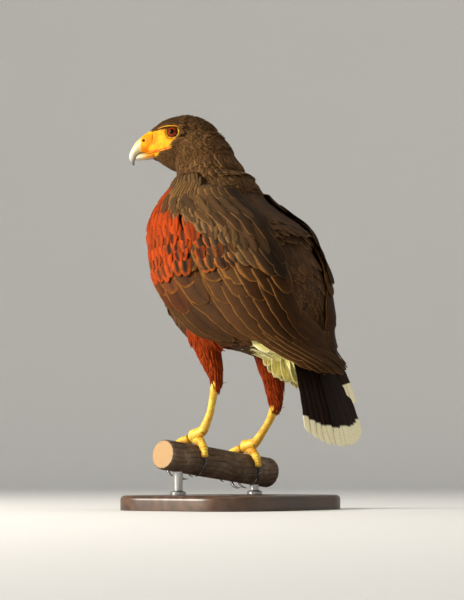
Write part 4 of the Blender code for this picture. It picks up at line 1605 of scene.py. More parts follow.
    def zones(self, points: Array) -> dict[Zone, Array]:
        """Where the feathers of each zone grow.

        Args:
            points: Points as rows, in millimetres.

        Returns:
            A share for each point, by zone.
        """
        head, thigh, tail = self.on_head(points), self.on_thigh(points), self.on_tail(points)
        forward, up, _ = HEAD.own(points).T
        angle, height = TRUNK.angle_of(points), points[:, 2]
        covered = self.bare(points)
        for side in Side:
            centre, _ = self.eye_frame(side)
            covered = np.maximum(covered, np.linalg.norm(points - centre, axis=1) < 10.2)
        open_face = head * (covered < 0.3) * (forward < 36.5)
        trunk = (1 - head) * (1 - thigh) * (1 - tail)
        under_wing = ease(40, 50, angle) * (1 - ease(148, 158, angle)) * ease(196, 206, height)
        top = 338 - 20 * ease(112, 130, angle)
        under_wing *= 1 - ease(top, top + 10, height)
        body = trunk * (1 - under_wing)
        neck = body * ease(346, 352, height)
        nape = open_face * (1 - ease(-40, -30, forward + 0.5 * up))
        low = body * (1 - ease(346, 352, height))
        belly = low * (1 - ease(196, 206, height))
        vent = belly * ease(32, 42, points[:, 1]) * (1 - ease(172, 180, height - 0.2 * points[:, 1] + 12))
        back = low * ease(100, 112, angle) * np.maximum(ease(188, 200, height), ease(90, 100, points[:, 1]))
        return {
            Zone.FACE: open_face * ease(2, 8, forward),
            Zone.HEAD: open_face * (1 - ease(2, 8, forward)) * (1 - nape),
            Zone.NAPE: nape,
            Zone.NECK: neck,
            Zone.BREAST: low * (1 - ease(60, 72, angle)) * ease(188, 198, height),
            Zone.BACK: back,
            Zone.BELLY: belly * (1 - vent) * (1 - back),
            Zone.VENT: vent,
            Zone.THIGH: thigh * ease(138, 146, height + np.where(points[:, 0] < 0, 22, 0)),
            Zone.SHANK: thigh * (1 - ease(138, 146, height + np.where(points[:, 0] < 0, 22, 0))),
            Zone.UNDERTAIL: tail * (1 - ease(-16, -8, TAIL.own(points)[:, 2])),
        }

    def dress(self, skin: Piece) -> None:
        """Give the skin the attributes that its finish and its feathers read.

        Args:
            skin: The skin.
        """
        points = points_of(skin)
        masks = self.zones(points)
        covered = sum(masks.values())
        dye = sum(MARKINGS.paint(zone, points)[0] * mask[:, None] for zone, mask in masks.items())
        dye = dye / np.maximum(covered, 1e-6)[:, None]
        dye[covered < 0.05] = Dye.DARK.rgb
        bare = np.repeat(self.bare(points)[:, None], 3, axis=1)
        set_attributes(skin.data, {"lie": self.lie(points), "dye": dye, "bare": bare})
        set_attributes(skin.data, {"zone_" + zone.value: mask for zone, mask in masks.items()})


@dataclass(frozen=True)
class Plot:
    """What grows in a zone: spacing and sizes in millimetres, lift and unevenness in degrees."""

    zone: Zone
    blade: Blade
    spacing: float
    half_width: float
    length: float
    lift: float
    unevenness: float
    seed: int
    slot: str = "plumage_dark"


class FeatherBed:
    """Geometry Nodes tree that lays one kind of feather over a zone of the skin, along its lie."""

    sockets = {"Skin": "Geometry", "Zone": "String", "Feather": "Object", "Seed": "Int", "Finish": "Material"}
    sockets |= dict.fromkeys(("Spacing", "Half width", "Length", "Lift", "Unevenness"), "Float")

    def __init__(self) -> None:
        """Build the tree once, for every zone."""
        self.tree = bpy.data.node_groups.new("feather_bed", "GeometryNodeTree")
        for name, kind in self.sockets.items():
            self.tree.interface.new_socket(name, in_out="INPUT", socket_type="NodeSocket" + kind)
        self.tree.interface.new_socket("Coat", in_out="OUTPUT", socket_type="NodeSocketGeometry")
        self.given = self.tree.nodes.new("NodeGroupInput").outputs
        out = self.tree.nodes.new("NodeGroupOutput")
        self.tree.links.new(self.feathers(self.scatter()), out.inputs[0])

    def node(self, kind: str, inputs: dict, output: int | str = 0, **settings: str) -> Socket:
        """Add a node with its settings and inputs, and give one output."""
        return add_node(self.tree, kind, inputs, output, **settings)

    def maths(self, operation: str, first: Socket, second: Socket | float) -> Socket:
        """Add a Math node."""
        return self.node("ShaderNodeMath", {0: first, 1: second}, operation=operation)

    def vector(self, *parts: Socket) -> Socket:
        """Join three numbers."""
        return self.node("ShaderNodeCombineXYZ", dict(enumerate(parts)))

    def chance(self, low: float, high: float, salt: int) -> Socket:
        """Random value for each feather.

        Args:
            low: Least value.
            high: Greatest value.
            salt: Number that sets it apart.

        Returns:
            The value.
        """
        seed = self.maths("ADD", self.given["Seed"], float(salt))
        made = self.node("FunctionNodeRandomValue", {"Seed": seed}, data_type="FLOAT").node
        limits = [s for s in made.inputs if s.enabled and s.type == "VALUE"]
        limits[0].default_value = low
        limits[1].default_value = high
        return next(s for s in made.outputs if s.enabled)

    def stored(self, geometry: Socket, name: str, value: Socket, kind: str) -> Socket:
        """Store an attribute on points."""
        inputs = {"Geometry": geometry, "Name": name, "Value": value}
        return self.node("GeometryNodeStoreNamedAttribute", inputs, data_type=kind, domain="POINT")

    def scatter(self) -> Socket:
        """Points over the zone, with their normals as the node's second output.

        Returns:
            The points.
        """
        given = self.given
        zone = self.node("GeometryNodeInputNamedAttribute", {"Name": given["Zone"]}, data_type="FLOAT")
        return self.node("GeometryNodeDistributePointsOnFaces", {
            "Mesh": given["Skin"],
            "Distance Min": given["Spacing"],
            "Density Max": 4.0e6,
            "Density Factor": zone,
            "Seed": given["Seed"],
        }, "Points", distribute_method="POISSON")

    def turned(self, normal: Socket) -> Socket:
        """Rotation of each feather: along the lie, lifted at its tip and a little uneven.

        Args:
            normal: Normals of the skin.

        Returns:
            The rotation.
        """
        given = self.given
        lie = self.node("GeometryNodeInputNamedAttribute", {"Name": "lie"}, data_type="FLOAT_VECTOR")
        upright = self.node("FunctionNodeAlignRotationToVector", {"Vector": normal}, axis="Z")
        laid = self.node(
            "FunctionNodeAlignRotationToVector", {"Rotation": upright, "Vector": lie},
            axis="Y", pivot_axis="Z",
        )
        lift = self.maths("MULTIPLY", given["Lift"], self.chance(0.55, 1.45, 3))
        roll = self.maths("MULTIPLY", given["Unevenness"], self.chance(-0.6, 0.6, 5))
        yaw = self.maths("MULTIPLY", given["Unevenness"], self.chance(-1.0, 1.0, 7))
        swing = self.node("FunctionNodeEulerToRotation", {0: self.vector(lift, roll, yaw)})
        turns_by = {"Rotation": laid, "Rotate By": swing}
        return self.node("FunctionNodeRotateRotation", turns_by, rotation_space="LOCAL")

    def feathers(self, points: Socket) -> Socket:
        """Solid feathers on the points, in their finish.

        Args:
            points: Where they stand.

        Returns:
            The feathers.
        """
        given = self.given
        growth = self.chance(0.86, 1.14, 11)
        half = self.maths("MULTIPLY", given["Half width"], growth)
        length = self.maths("MULTIPLY", given["Length"], growth)
        rooted = self.stored(points, "root", self.node("GeometryNodeInputPosition", {}), "FLOAT_VECTOR")
        spread = self.node("GeometryNodeInstanceOnPoints", {
            "Points": self.stored(rooted, "tone", self.chance(0.0, 1.0, 13), "FLOAT"),
            "Instance": self.node("GeometryNodeObjectInfo", {"Object": given["Feather"]}, "Geometry"),
            "Rotation": self.turned(points.node.outputs["Normal"]),
            "Scale": self.vector(half, length, half),
        })
        solid_ones = self.node("GeometryNodeRealizeInstances", {0: spread})
        return self.node("GeometryNodeSetMaterial", {"Geometry": solid_ones, "Material": given["Finish"]})

    def lay(self, skin: Piece, feather: Piece, plot: Plot, finish: Material) -> Piece:
        """Lay feathers over a zone.

        Args:
            skin: The skin with its attributes.
            feather: The flat blade.
            plot: What grows in the zone.
            finish: Material of the feathers.

        Returns:
            The feathers as a plain mesh.
        """
        bed = bpy.data.objects.new("coat_" + plot.zone.value, skin.data)
        bpy.context.scene.collection.objects.link(bed)
        step = bed.modifiers.new("feathers", "NODES")
        step.node_group = self.tree
        values = {
            "Zone": "zone_" + plot.zone.value,
            "Feather": feather,
            "Spacing": plot.spacing * MM,
            "Half width": plot.half_width,
            "Length": plot.length,
            "Lift": math.radians(plot.lift),
            "Unevenness": math.radians(plot.unevenness),
            "Seed": plot.seed,
            "Finish": finish,
        }
        for item in self.tree.interface.items_tree:
            if item.in_out == "INPUT" and item.name in values:
                step[item.identifier] = values[item.name]
        return plain(bed)


@dataclass
class BodyPlumage:
    """Small feathers of the head, neck, trunk, thighs and vent."""

    tiny: Blade = Blade(3, 5, ((0, 0.4), (0.3, 0.9), (1.0, 0.9)), 0.2, 0.3, 0.1, 0.45)
    small: Blade = Blade(5, 6, camber=0.25, bend=0.3, thickness=0.07)
    broad: Blade = Blade(7, 9, camber=0.2, bend=0.5, thickness=0.045)
    narrow: Blade = Blade(5, 7, ((0, 0.4), (0.3, 1.0), (1.0, 0.6)), 0.3, 0.5, 0.08, 0.3)

    def plots(self) -> tuple[Plot, ...]:
        """What grows where.

        Returns:
            The plots.
        """
        return (
            Plot(Zone.FACE, self.tiny, 1.35, 1.1, 4.6, 11, 13, 11),
            Plot(Zone.HEAD, self.small, 1.9, 1.8, 7.8, 12, 11, 12),
            Plot(Zone.NAPE, self.small, 2.4, 2.5, 10.0, 7, 10, 21),
            Plot(Zone.NECK, self.small, 2.6, 3.6, 10.5, 8, 20, 13),
            Plot(Zone.BREAST, self.small, 4.2, 4.8, 17.0, 7, 8, 14),
            Plot(Zone.BACK, self.broad, 5.6, 7.4, 22.0, 10, 8, 15),
            Plot(Zone.BELLY, self.small, 3.4, 3.6, 13.0, 6, 8, 16),
            Plot(Zone.VENT, self.broad, 4.2, 6.0, 22.0, 7, 7, 17),
            Plot(Zone.THIGH, self.narrow, 2.4, 2.3, 17.0, 7, 8, 18, "plumage_rufous"),
            Plot(Zone.SHANK, self.narrow, 1.9, 1.6, 11.0, 8, 9, 19, "plumage_rufous"),
            Plot(Zone.UNDERTAIL, self.broad, 4.2, 6.0, 24.0, 6, 7, 20),
        )

    def build(self, skin: Piece, bed: FeatherBed, material: Material) -> None:
        """Lay every zone's feathers and hand them in.

        Args:
            skin: The skin.
            bed: What lays feathers.
            material: Material of the feathers.
        """
        for plot in self.plots():
            feather = plot.blade.template("blade_" + plot.zone.value)
            piece = bed.lay(skin, feather, plot, material)
            self.mark(piece, plot)
            bpy.data.objects.remove(feather)
            finish_piece(piece, material, plot.slot)

    def mark(self, piece: Piece, plot: Plot) -> None:
        """Paint each feather from the place of its root, and give the coat its map.

        Args:
            piece: Feathers of one coat.
            plot: What it covers.
        """
        count = 2 * plot.blade.columns * plot.blade.rows
        roots = attribute_of(piece, "root")[::count] / MM
        leaf = attribute_of(piece, "leaf")
        leaf[:, 2] = np.repeat(attribute_of(piece, "tone")[::count], count)
        places = roots + np.array([0, 0, -0.35 * plot.length])
        aspects = np.full(len(roots), plot.length / plot.half_width)
        attributes = piece.data.attributes
        for name in [a.name for a in attributes if not a.is_internal and not a.is_required]:
            if attributes[name].domain == "POINT":
                attributes.remove(attributes[name])
        set_attributes(piece.data, feather_marks(plot.zone, places, roots, aspects, leaf))
        piece.data.shade_smooth()
        bake_map(piece)


@dataclass(frozen=True)
class Tier:
    """One tier of a folded wing: ends of its shafts as angle and height, its lift and its overlap."""

    zone: Zone
    count: int
    roots: tuple
    tips: tuple
    sink: float
    lift: float
    least: float = 0.0
    overlap: float = 0.8
    rear_over_front: bool = True
    uneven: float = 1.5
    tilt: float = 0.13
    bow: float = 0.0


@dataclass
class Wings:
    """Both folded wings in tiers from the lesser coverts down to the flight feathers."""

    flight_blade: Blade = Blade(
        7, 20, ((0, 0.5), (0.1, 0.7), (0.3, 0.95), (0.6, 1.0), (1, 0.95)), 0.07, 0.5, 0.04, 0.87,
    )
    covert_blade: Blade = Blade(
        7, 12, ((0, 0.5), (0.2, 0.9), (0.45, 1.0), (1, 0.98)), 0.10, 0.5, 0.045, 0.7,
    )
    lesser_blade: Blade = Blade(
        5, 8, ((0, 0.5), (0.25, 0.95), (0.55, 1.0), (1, 0.9)), 0.16, 0.5, 0.05, 0.5,
    )
    flights: tuple[Tier, ...] = (
        Tier(
            Zone.PRIMARY, 8, ((100, 212), (146, 222)), ((142, 150), (217, 158)),
            -7.0, -2.6, 10.0, tilt=0.1, bow=7.0,
        ),
        Tier(Zone.FLIGHT, 9, ((60, 262), (138, 276)), ((79, 178), (168, 180)), -6.5, -1.8, uneven=3.0),
    )
    right_primaries: Tier = Tier(
        Zone.PRIMARY, 7, ((100, 214), (146, 220)), ((152, 186), (171, 171)), -7.0, -1.0, 7.0, tilt=0.1,
    )
    coverts: tuple[Tier, ...] = (
        Tier(
            Zone.GREATER, 8, ((56, 288), (136, 298)), ((63, 212), (160, 230)),
            -6.0, -0.6, 0, 0.74, True, 4.0,
        ),
        Tier(Zone.MEDIAN, 7, ((52, 302), (130, 310)), ((58, 234), (150, 246)), -5.6, 0.4, 0, 0.74, True, 5.0),
        Tier(
            Zone.MEDIAN, 8, ((45, 318), (122, 324)), ((52, 252), (138, 268)),
            -5.4, 1.2, 0, 0.76, True, 5.0, 0.09,
        ),
    )
    scapulars: tuple[Tier, ...] = (
        Tier(
            Zone.SCAPULAR, 5, ((110, 300), (140, 292)), ((117, 264), (155, 244)),
            -5.0, 2.6, 10, 0.74, True, 3.0,
        ),
        Tier(
            Zone.SCAPULAR, 5, ((102, 318), (141, 308)), ((110, 284), (154, 262)),
            -4.8, 3.0, 10, 0.74, False, 3.0,
        ),
        Tier(
            Zone.SCAPULAR, 6, ((92, 334), (142, 326)), ((100, 303), (153, 284)),
            -4.6, 3.4, 10, 0.74, True, 3.0,
        ),
        Tier(
            Zone.SCAPULAR, 8, ((60, 349), (141, 340)), ((74, 313), (152, 306)),
            -4.3, 3.6, 9.5, 0.76, False, 2.0,
        ),
        Tier(
            Zone.SCAPULAR, 12, ((46, 362), (139, 354)), ((60, 334), (150, 326)),
            -5.5, 3.2, 9.0, 0.8, True, 2.0,
        ),
    )
    lesser_tips: tuple = (240, 251, 262, 272, 282, 291, 300, 308, 316, 324, 331, 338, 345)
    lesser_length: float = 24.0

    def lessers(self) -> tuple[Tier, ...]:
        """Rows of lesser coverts, staggered up the shoulder.

        Returns:
            The tiers.
        """
        tiers = []
        for row, tip in enumerate(self.lesser_tips):
            shift = 2.0 * (row % 2)
            front = 27 + shift
            rear = 124 + shift - 2.4 * row
            count = 17 - row // 3
            low = tip + (0.2 - 0.014 * row) * (rear - front)
            tiers.append(Tier(
                Zone.LESSER, count, ((front, tip + self.lesser_length), (rear, low + self.lesser_length)),
                ((front, tip), (rear, low)), -4.0, 3.5 + 0.05 * row, 3.0, 0.84,
                row % 2 == 0, max(3.2, 5.0 - row), 0.14,
            ))
        return tuple(tiers)

    def lay_tier(self, coat: Coat, tier: Tier, side: Side, chance: Chance) -> None:
        """Lay a tier's blades over the outer form.

        Args:
            coat: Coat that takes them.
            tier: The tier.
            side: Side of the bird.
            chance: Source of random values.
        """
        along = coat.blade.along
        shares = np.linspace(0, 1, tier.count)
        roots, tips = (np.array(a) + np.outer(shares, np.subtract(b, a)) for a, b in (tier.roots, tier.tips))
        tips[:, 1] += chance.uniform(-tier.uneven, tier.uneven, tier.count)
        tips[:, 0] += chance.uniform(-0.6, 0.6, tier.count) * tier.uneven
        tips[:, 1] -= tier.bow * np.sin(math.pi * shares)
        path = roots[:, None] + (tips - roots)[:, None] * along[None, :, None]
        angle, height = path[..., 0], path[..., 1]
        radius = TRUNK.radius(height)
        flat = np.stack([np.radians(angle) * radius, height], axis=-1)
        beside = np.gradient(flat, axis=0)
        ahead = unit(np.gradient(flat, axis=1))
        apart = np.abs(beside[..., 0] * ahead[..., 1] - beside[..., 1] * ahead[..., 0])
        apart = np.minimum(apart, apart.mean() * 1.6)
        half = np.maximum(tier.overlap * apart, tier.least) * coat.blade.widths
        lift = tier.sink + (tier.lift - tier.sink) * ease(0, 0.3, along) - 0.4 * ease(0.8, 1.0, along)
        droop = -3.5 * (1 - ease(40, 60, angle))
        turn = 1 if tier.rear_over_front else -1
        for i in range(tier.count):
            jitter = chance.uniform(-0.2, 0.2)
            normal = TRUNK.normal(angle[i], height[i])
            centre = TRUNK.point(angle[i], height[i]) + normal * (lift + droop[i] + jitter)[:, None]
            blade = coat.blade.sweep(centre, normal, half[i], -turn * tier.tilt, coat.blade.ragged(chance))
            mark = centre[int(len(along) * 0.7)].copy()
            blade[:, 0] *= side.value
            mark[0] = abs(mark[0]) * side.value
            length = float(np.linalg.norm(centre[-1] - centre[0]))
            aspect = length / max(half[i].max(), 1.0)
            coat.add(blade, tier.zone, mark, aspect, float(chance.uniform()), side is Side.LEFT)

    def build(self, finish: Material) -> None:
        """Make the coats of both wings and hand them in.

        Args:
            finish: Material that it wears.
        """
        for side in Side:
            chance = np.random.default_rng(41 + side.value)
            primaries = self.flights[0] if side is Side.LEFT else self.right_primaries
            quills = (primaries, self.flights[1])
            for name, blade, tiers, slot, nodes in (
                ("flight_feathers_", self.flight_blade, quills, "plumage_wing", ["wing_" + side.word]),
                ("wing_coverts_", self.covert_blade, self.coverts, "plumage_wing", []),
                ("lesser_coverts_", self.lesser_blade, self.lessers(), "plumage_rufous", []),
                ("scapulars_", self.covert_blade, self.scapulars, "plumage_wing", []),
            ):
                coat = Coat(name + side.word, blade)
                for tier in tiers:
                    self.lay_tier(coat, tier, side, chance)
                coat.piece(finish, slot, *nodes)


@dataclass(frozen=True)
class Quills:
    """A row of feathers on the tail.

    Places along the tail, half spreads and heights over its frame are given at the feathers' roots and tips.
    Sense is 1 over the tail and -1 under it.
    """

    zone: Zone
    count: int
    start: float
    end: float
    sense: int
    root_spread: float
    tip_spread: float
    wide: float
    low: float = 0.0
    high: float = 0.0
    tilt: float = 0.12
    mark: int = 5


@dataclass
class Tail:
    """Twelve tail feathers in a shallow fan, with the coverts over and under their roots."""

    rounding: float = 15.0
    bow: float = 3.0
    level: float = 0.9
    shed: float = 33.0
    blade: Blade = Blade(9, 22, ((0, 0.5), (0.2, 0.8), (0.5, 0.98), (1, 1.0)), 0.06, 0.5, 0.03, 0.93)
    covert_blade: Blade = Blade(7, 10, ((0, 0.4), (0.25, 0.9), (0.6, 1.0), (1, 0.95)), 0.2, 0.5, 0.05, 0.6)
    fan: Quills = Quills(Zone.RECTRIX, 12, 30.0, TAIL.length, 1, 34.0, 48.5, 12.5, tilt=0.05, mark=-1)
    coverts: tuple[Quills, ...] = (
        Quills(Zone.UNDERTAIL, 6, 16, 46, -1, 15, 19, 8.0, -36, -54),
        Quills(Zone.UNDERTAIL, 7, 24, 57, -1, 16, 20, 8.0, -33, -45),
        Quills(Zone.UNDERTAIL, 7, 30, 66, -1, 15, 19, 8.0, -28, -34),
        Quills(Zone.UNDERTAIL, 7, 36, 74, -1, 13, 18, 8.0, -22, -24),
        Quills(Zone.UNDERTAIL, 6, 42, 80, -1, 11, 16, 7.5, -14, -14),
        Quills(Zone.PRIMARY, 7, 34, 80, 1, 13, 20, 8.0, 2, 3),
        Quills(Zone.PRIMARY, 7, 22, 66, 1, 14, 20, 8.0, 4, 5),
        Quills(Zone.PRIMARY, 7, 10, 52, 1, 14, 19, 8.0, 6, 7),
    )

    def lay(
        self, coat: Coat, row: Quills, place: float, reach: float, height: Array, half: Array,
        chance: Chance,
    ) -> None:
        """Lay one feather.

        Args:
            coat: Coat that takes it.
            row: Its row.
            place: Its place across the row, -1 to 1.
            reach: Place of its tip along the tail.
            height: Its shaft's heights over the frame.
            half: Its half widths.
            chance: Source of random values.
        """
        along = coat.blade.along
        fan = row.root_spread + (row.tip_spread - row.root_spread) * along
        centre = TAIL.place(row.start + (reach - row.start) * along, place * fan, height)
        normal = np.repeat(TAIL.axes[2][None] * row.sense, len(along), axis=0)
        tilt = -row.tilt * np.sign(place) * row.sense
        blade = coat.blade.sweep(centre, normal, half, tilt, coat.blade.ragged(chance))
        aspect = (reach - row.start) / row.wide
        coat.add(blade, row.zone, centre[row.mark], aspect, float(chance.uniform()), True)

    def build(self, finish: Material) -> None:
        """Make the tail feathers and their coverts and hand them in.

        Args:
            finish: Material that it wears.
        """
        chance = np.random.default_rng(7)
        tail = Coat("tail_feathers", self.blade)
        along = self.blade.along
        middle = (self.fan.count - 1) / 2
        half = self.fan.wide * self.blade.widths * (0.62 + 0.38 * along)
        for i in range(self.fan.count):
            place = (i - middle) / middle
            level = self.level * (middle / 2 - abs(i - middle))
            reach = self.fan.end - self.rounding * place**2 + chance.uniform(-1.5, 1.5)
            if i == 0:
                place *= 0.92
                reach -= self.shed
                level += 2.8
            self.lay(tail, self.fan, place, reach, level + self.bow * np.sin(math.pi * along), half, chance)
        tail.piece(finish, "plumage_tail", "tail")
        coverts = Coat("tail_coverts", self.covert_blade)
        rise = self.covert_blade.along**0.6
        for row in self.coverts:
            middle = (row.count - 1) / 2
            for i in range(row.count):
                place = (i - middle) / middle
                reach = row.end - 8 * place**2 + chance.uniform(-3, 3)
                sag = 2.2 * place**2 + chance.uniform(-0.4, 0.4)
                height = row.low + (row.high - row.low) * rise - row.sense * sag
                self.lay(coverts, row, place, reach, height, row.wide * self.covert_blade.widths, chance)
        coverts.piece(finish, "plumage_tail")


@dataclass
class Bill:
    """Cere, hooked upper bill, lower bill, gape and nostrils."""

    around: int = 40
    cere_stations: tuple = (
        (33.0, 11.4, -13.0, 11.6),
        (36.4, 9.7, -13.2, 10.9),
        (38.5, 8.6, -13.4, 10.4),
        (40.0, 7.6, -13.5, 10.0),
        (43.0, 5.7, -13.9, 9.5),
        (45.6, 3.8, -14.3, 9.15),
    )
    upper: tuple = (
        ((45.3, 3.7), (45.3, -14.2), 9.0),
        ((49.5, 0.0), (47.5, -15.0), 7.9),
        ((53.4, -4.8), (49.6, -16.4), 6.6),
        ((56.8, -11.0), (51.2, -18.4), 5.2),
        ((58.9, -16.4), (52.3, -21.6), 3.8),
        ((58.6, -21.8), (52.9, -24.6), 2.6),
        ((56.4, -26.2), (53.0, -27.2), 1.3),
        ((54.0, -28.3), (53.3, -28.6), 0.4),
    )
    lower: tuple = (
        ((31.0, -14.0), (31.0, -20.4), 9.0),
        ((37.7, -14.4), (37.7, -21.4), 8.8),
        ((42.5, -14.8), (42.5, -21.9), 7.6),
        ((46.8, -15.4), (47.2, -22.2), 6.0),
        ((49.8, -17.2), (50.6, -22.2), 4.0),
        ((51.6, -20.0), (52.0, -21.8), 1.4),
    )
    nostril: tuple = (42.1, -1.2)
    nostril_size: float = 1.5
    ledge: tuple = (
        (26.0, 11.2, 15.6), (19.0, 12.7, 20.6), (12.0, 12.9, 24.0), (6.0, 12.5, 25.2), (1.5, 10.8, 25.2),
    )
    mouth: tuple = ((40, -13.9), (32, -13.4), (22, -12.2), (13, -10.4), (8.5, -9.4))

    def horn(self, name: str, stations: tuple, steps: int, node: str, finish: Material) -> None:
        """Make one half of the bill as a smooth loft and hand it in.

        Args:
            name: Name of the piece.
            stations: Upper point, lower point and half width of its sections, the points as forward and up.
            steps: Count of its rings.
            node: The CAD node that it replaces.
            finish: Its material.
        """
        shares = np.linspace(0, 1, steps)
        rows = curve(tuple((*up, *low, wide) for up, low, wide in stations), shares * (len(stations) - 1))
        c, s = np.cos(turns(self.around)), np.sin(turns(self.around))
        below = np.clip(-c, 0, 1)
        rings, grow = [], []
        for share, (uf, uh, lf, lh, wide) in zip(shares, rows):
            side = wide * np.sign(s) * np.abs(s) ** 0.88
            pinch = 1 - 0.12 * below**2 * math.sin(math.pi * min(share * 1.4, 1))
            fore, high = (uf + lf) / 2 + (uf - lf) / 2 * c, (uh + lh) / 2 + (uh - lh) / 2 * c
            rings.append(HEAD.place(fore, high, side * pinch))
            grow.append(np.stack([np.full(self.around, share), below**3, np.zeros(self.around)], axis=1))
        solid(name, [loft(rings, grow, ((0, 0, 0), (1, 0, 0)))], "grow", finish, "horn_pale", node)

    def cere(self, finish: Material) -> None:
        """Make the cere with its nostrils sunk in and hand it in.

        Args:
            finish: Material that it wears.
        """
        rings, shade = [], []
        angle = np.radians(turns(96, 360))
        first, last = self.cere_stations[0][0], self.cere_stations[-1][0]
        for forward in np.linspace(first, last, 40):
            top, low, wide = through(self.cere_stations, forward)
            bulge = 0.35 * math.sin(math.pi * (forward - first) / (last - first))
            s, c = np.sin(angle), np.cos(angle)
            up = (top + low) / 2 + ((top - low) / 2 + bulge) * np.sign(c) * np.abs(c) ** 0.94
            side = (wide + bulge) * np.sign(s) * np.abs(s) ** 0.94
            away = np.hypot((forward - self.nostril[0]) * 0.8, up - self.nostril[1]) / self.nostril_size
            pit = np.where(np.abs(side) > 4, 1 - ease(0.55, 1.15, away), 0)
            lip = np.exp(-(((away - 1.45) / 0.35) ** 2)) * 0.25
            rings.append(HEAD.place(np.full(96, forward), up, side - np.sign(side) * (pit * 2.2 - lip)))
            # Painted shade: the nostril pits are darkened to stand for the shade inside them.
            shade.append(np.repeat((1 - 0.88 * pit)[:, None], 3, axis=1))
        shell = loft(rings, shade, ((1, 1, 1), (1, 1, 1)))
        solid("cere_skin", [shell], "shade", finish, "skin_yellow", "cere")

    def gape(self, finish: Material) -> None:
        """Make the fleshy rims of the mouth on both sides and hand them in.

        Args:
            finish: Material that it wears.
        """
        shells = []
        taper = np.sin(np.linspace(0.5, math.pi - 0.15, 24))
        radii = np.stack([0.35 + 0.75 * taper, 0.3 + 0.62 * taper], axis=1)
        for side in Side:
            path = []
            for forward, up in curve(self.mouth, np.linspace(0, len(self.mouth) - 1, 24)):
                _, bottom, wide, level = through(HEAD.sections, min(forward, 37.4))
                drop = min(abs((up - level) / (level - bottom)), 0.97)
                surface = (wide - 1.5) * (1 - drop**HEAD.fullness) ** (1 / HEAD.fullness)
                path.append(HEAD.place(forward, up, surface * side.value).reshape(3))
            for shift, tone in ((-1.05, 0.8), (0.75, 1.0)):
                shells.append(loft(tube(np.array(path) + UP * shift, radii, 12, UP), tone))
        solid("gape", shells, "shade", finish, "skin_yellow")

    def brows(self, finish: Material) -> None:
        """Make the pale ledges over both eyes and hand them in.

        Args:
            finish: Material that it wears.
        """
        shells = []
        taper = np.sin(np.linspace(0.25, math.pi - 0.25, 26))
        radii = np.stack([0.3 + 0.6 * taper, 0.2 + 0.35 * taper], axis=1)
        forward, up, left = curve(self.ledge, np.linspace(0, len(self.ledge) - 1, 26)).T
        for side in Side:
            shells.append(loft(tube(HEAD.place(forward, up, left * side.value), radii, 12, UP), 0.8))
        solid("brow_ledges", shells, "shade", finish, "skin_yellow")

    def build(self, horn: Material, jaw: Material, cere: Material, gape: Material) -> None:
        """Make all the pieces of the bill.

        Args:
            horn: Material of the upper bill.
            jaw: Of the lower bill.
            cere: Of the cere.
            gape: Of the rims of the mouth.
        """
        self.brows(cere)
        self.horn("bill_upper", self.upper, 44, "upper_bill", horn)
        self.horn("bill_lower", self.lower, 34, "lower_bill", jaw)
        self.cere(cere)
        self.gape(gape)


@dataclass
class Eyes:
    """Eyeballs with a bulging cornea, and the yellow rims of their lids."""

    skin: Skin
    radius: float = 8.2
    bulge: float = 0.5
    iris: float = 6.6
    lid_major: float = 7.3
    lid_minor: float = 0.95
    lid_depth: float = 4.7

    def frame(self, side: Side) -> tuple[Array, Array, Array, Array]:
        """Centre of an eye, its outward direction, its upper direction and the one across.

        Args:
            side: Side of the bird.

        Returns:
            The four vectors.
        """
        centre, aim = self.skin.eye_frame(side)
        up = unit(np.array([0, 0, 1.0]) - aim * aim[2])
        return centre, aim, up, np.cross(up, aim)

    def ball(self, side: Side, finish: Material) -> None:
        """Make an eyeball and hand it in.

        Args:
            side: Side of the bird.
            finish: Material that it wears.
        """
        centre, aim, up, across = self.frame(side)
        rings, gaze = [], []
        c, s = np.cos(turns(64)), np.sin(turns(64))
        for polar in np.radians(np.concatenate([np.linspace(2, 70, 40), np.linspace(76, 176, 14)])):
            front = polar < 1.5
            reach = self.radius * math.sin(polar)
            swell = self.bulge * max(0.0, 1 - (reach / self.iris) ** 2) * front
            depth = self.radius * math.cos(polar) + swell
            rings.append(centre + aim * depth + reach * (c[:, None] * up + s[:, None] * across))
            gaze.append(np.stack([np.full(64, reach / self.iris if front else 2.0), c, s], axis=1))
        shell = loft(rings, gaze, ((0, 0, 0), (2, 0, 0)))
        solid("eyeball_" + side.word, [shell], "gaze", finish, "eye", "eye_" + side.word)

    def lid(self, side: Side, major: float, minor: float, rise: float) -> Shell:
        """Rim round an eye, almond-shaped.

        Args:
            side: Side of the bird.
            major: Half length of the opening.
            minor: Half thickness of the rim.
            rise: Its height over the lids' own depth.

        Returns:
            The closed rim.
        """
        centre, aim, up, across = self.frame(side)
        c, s = np.cos(turns(72)), np.sin(turns(72))
        own_up = np.where(s > 0, 0.9, 0.94) * major * s
        own_across = major * 1.03 * c
        path = centre + aim * (self.lid_depth + rise) + own_up[:, None] * up + own_across[:, None] * across
        radial = unit(path - centre - aim * (self.lid_depth + rise))
        thick = minor * (1 + 0.2 * np.sin(turns(72) * 9 + rise))
        cr, sr = np.cos(turns(14))[None, :, None], np.sin(turns(14))[None, :, None]
        points = path[:, None] + thick[:, None, None] * (cr * radial[:, None] + sr * aim[None, None])
        here = np.arange(72 * 14).reshape(72, 14)
        right, ahead = np.roll(here, -1, axis=1), np.roll(here, -1, axis=0)
        faces = np.stack([here, right, np.roll(right, -1, axis=0), ahead], axis=-1).reshape(-1, 4).tolist()
        # Painted shadow: the upper half of each rim is darkened to stand for the brow's shadow over the eye.
        shade = np.tile(np.repeat(1 - 0.75 * ease(0.1, 0.8, s), 14)[:, None], 3)
        return Shell(points.reshape(-1, 3), faces, shade)

    def build(self, wet: Material, rim: Material) -> None:
        """Make both eyes and their rims, each lid with a thinner fold outside it.

        Args:
            wet: Material of the eyeballs.
            rim: Material of the lids.
        """
        for side in Side:
            self.ball(side, wet)
        folds = ((self.lid_major, self.lid_minor, 0.0), (self.lid_major + 1.4, 0.6, -0.6))
        shells = [self.lid(side, *fold) for side in Side for fold in folds]
        solid("eye_rims", shells, "shade", rim, "skin_yellow")


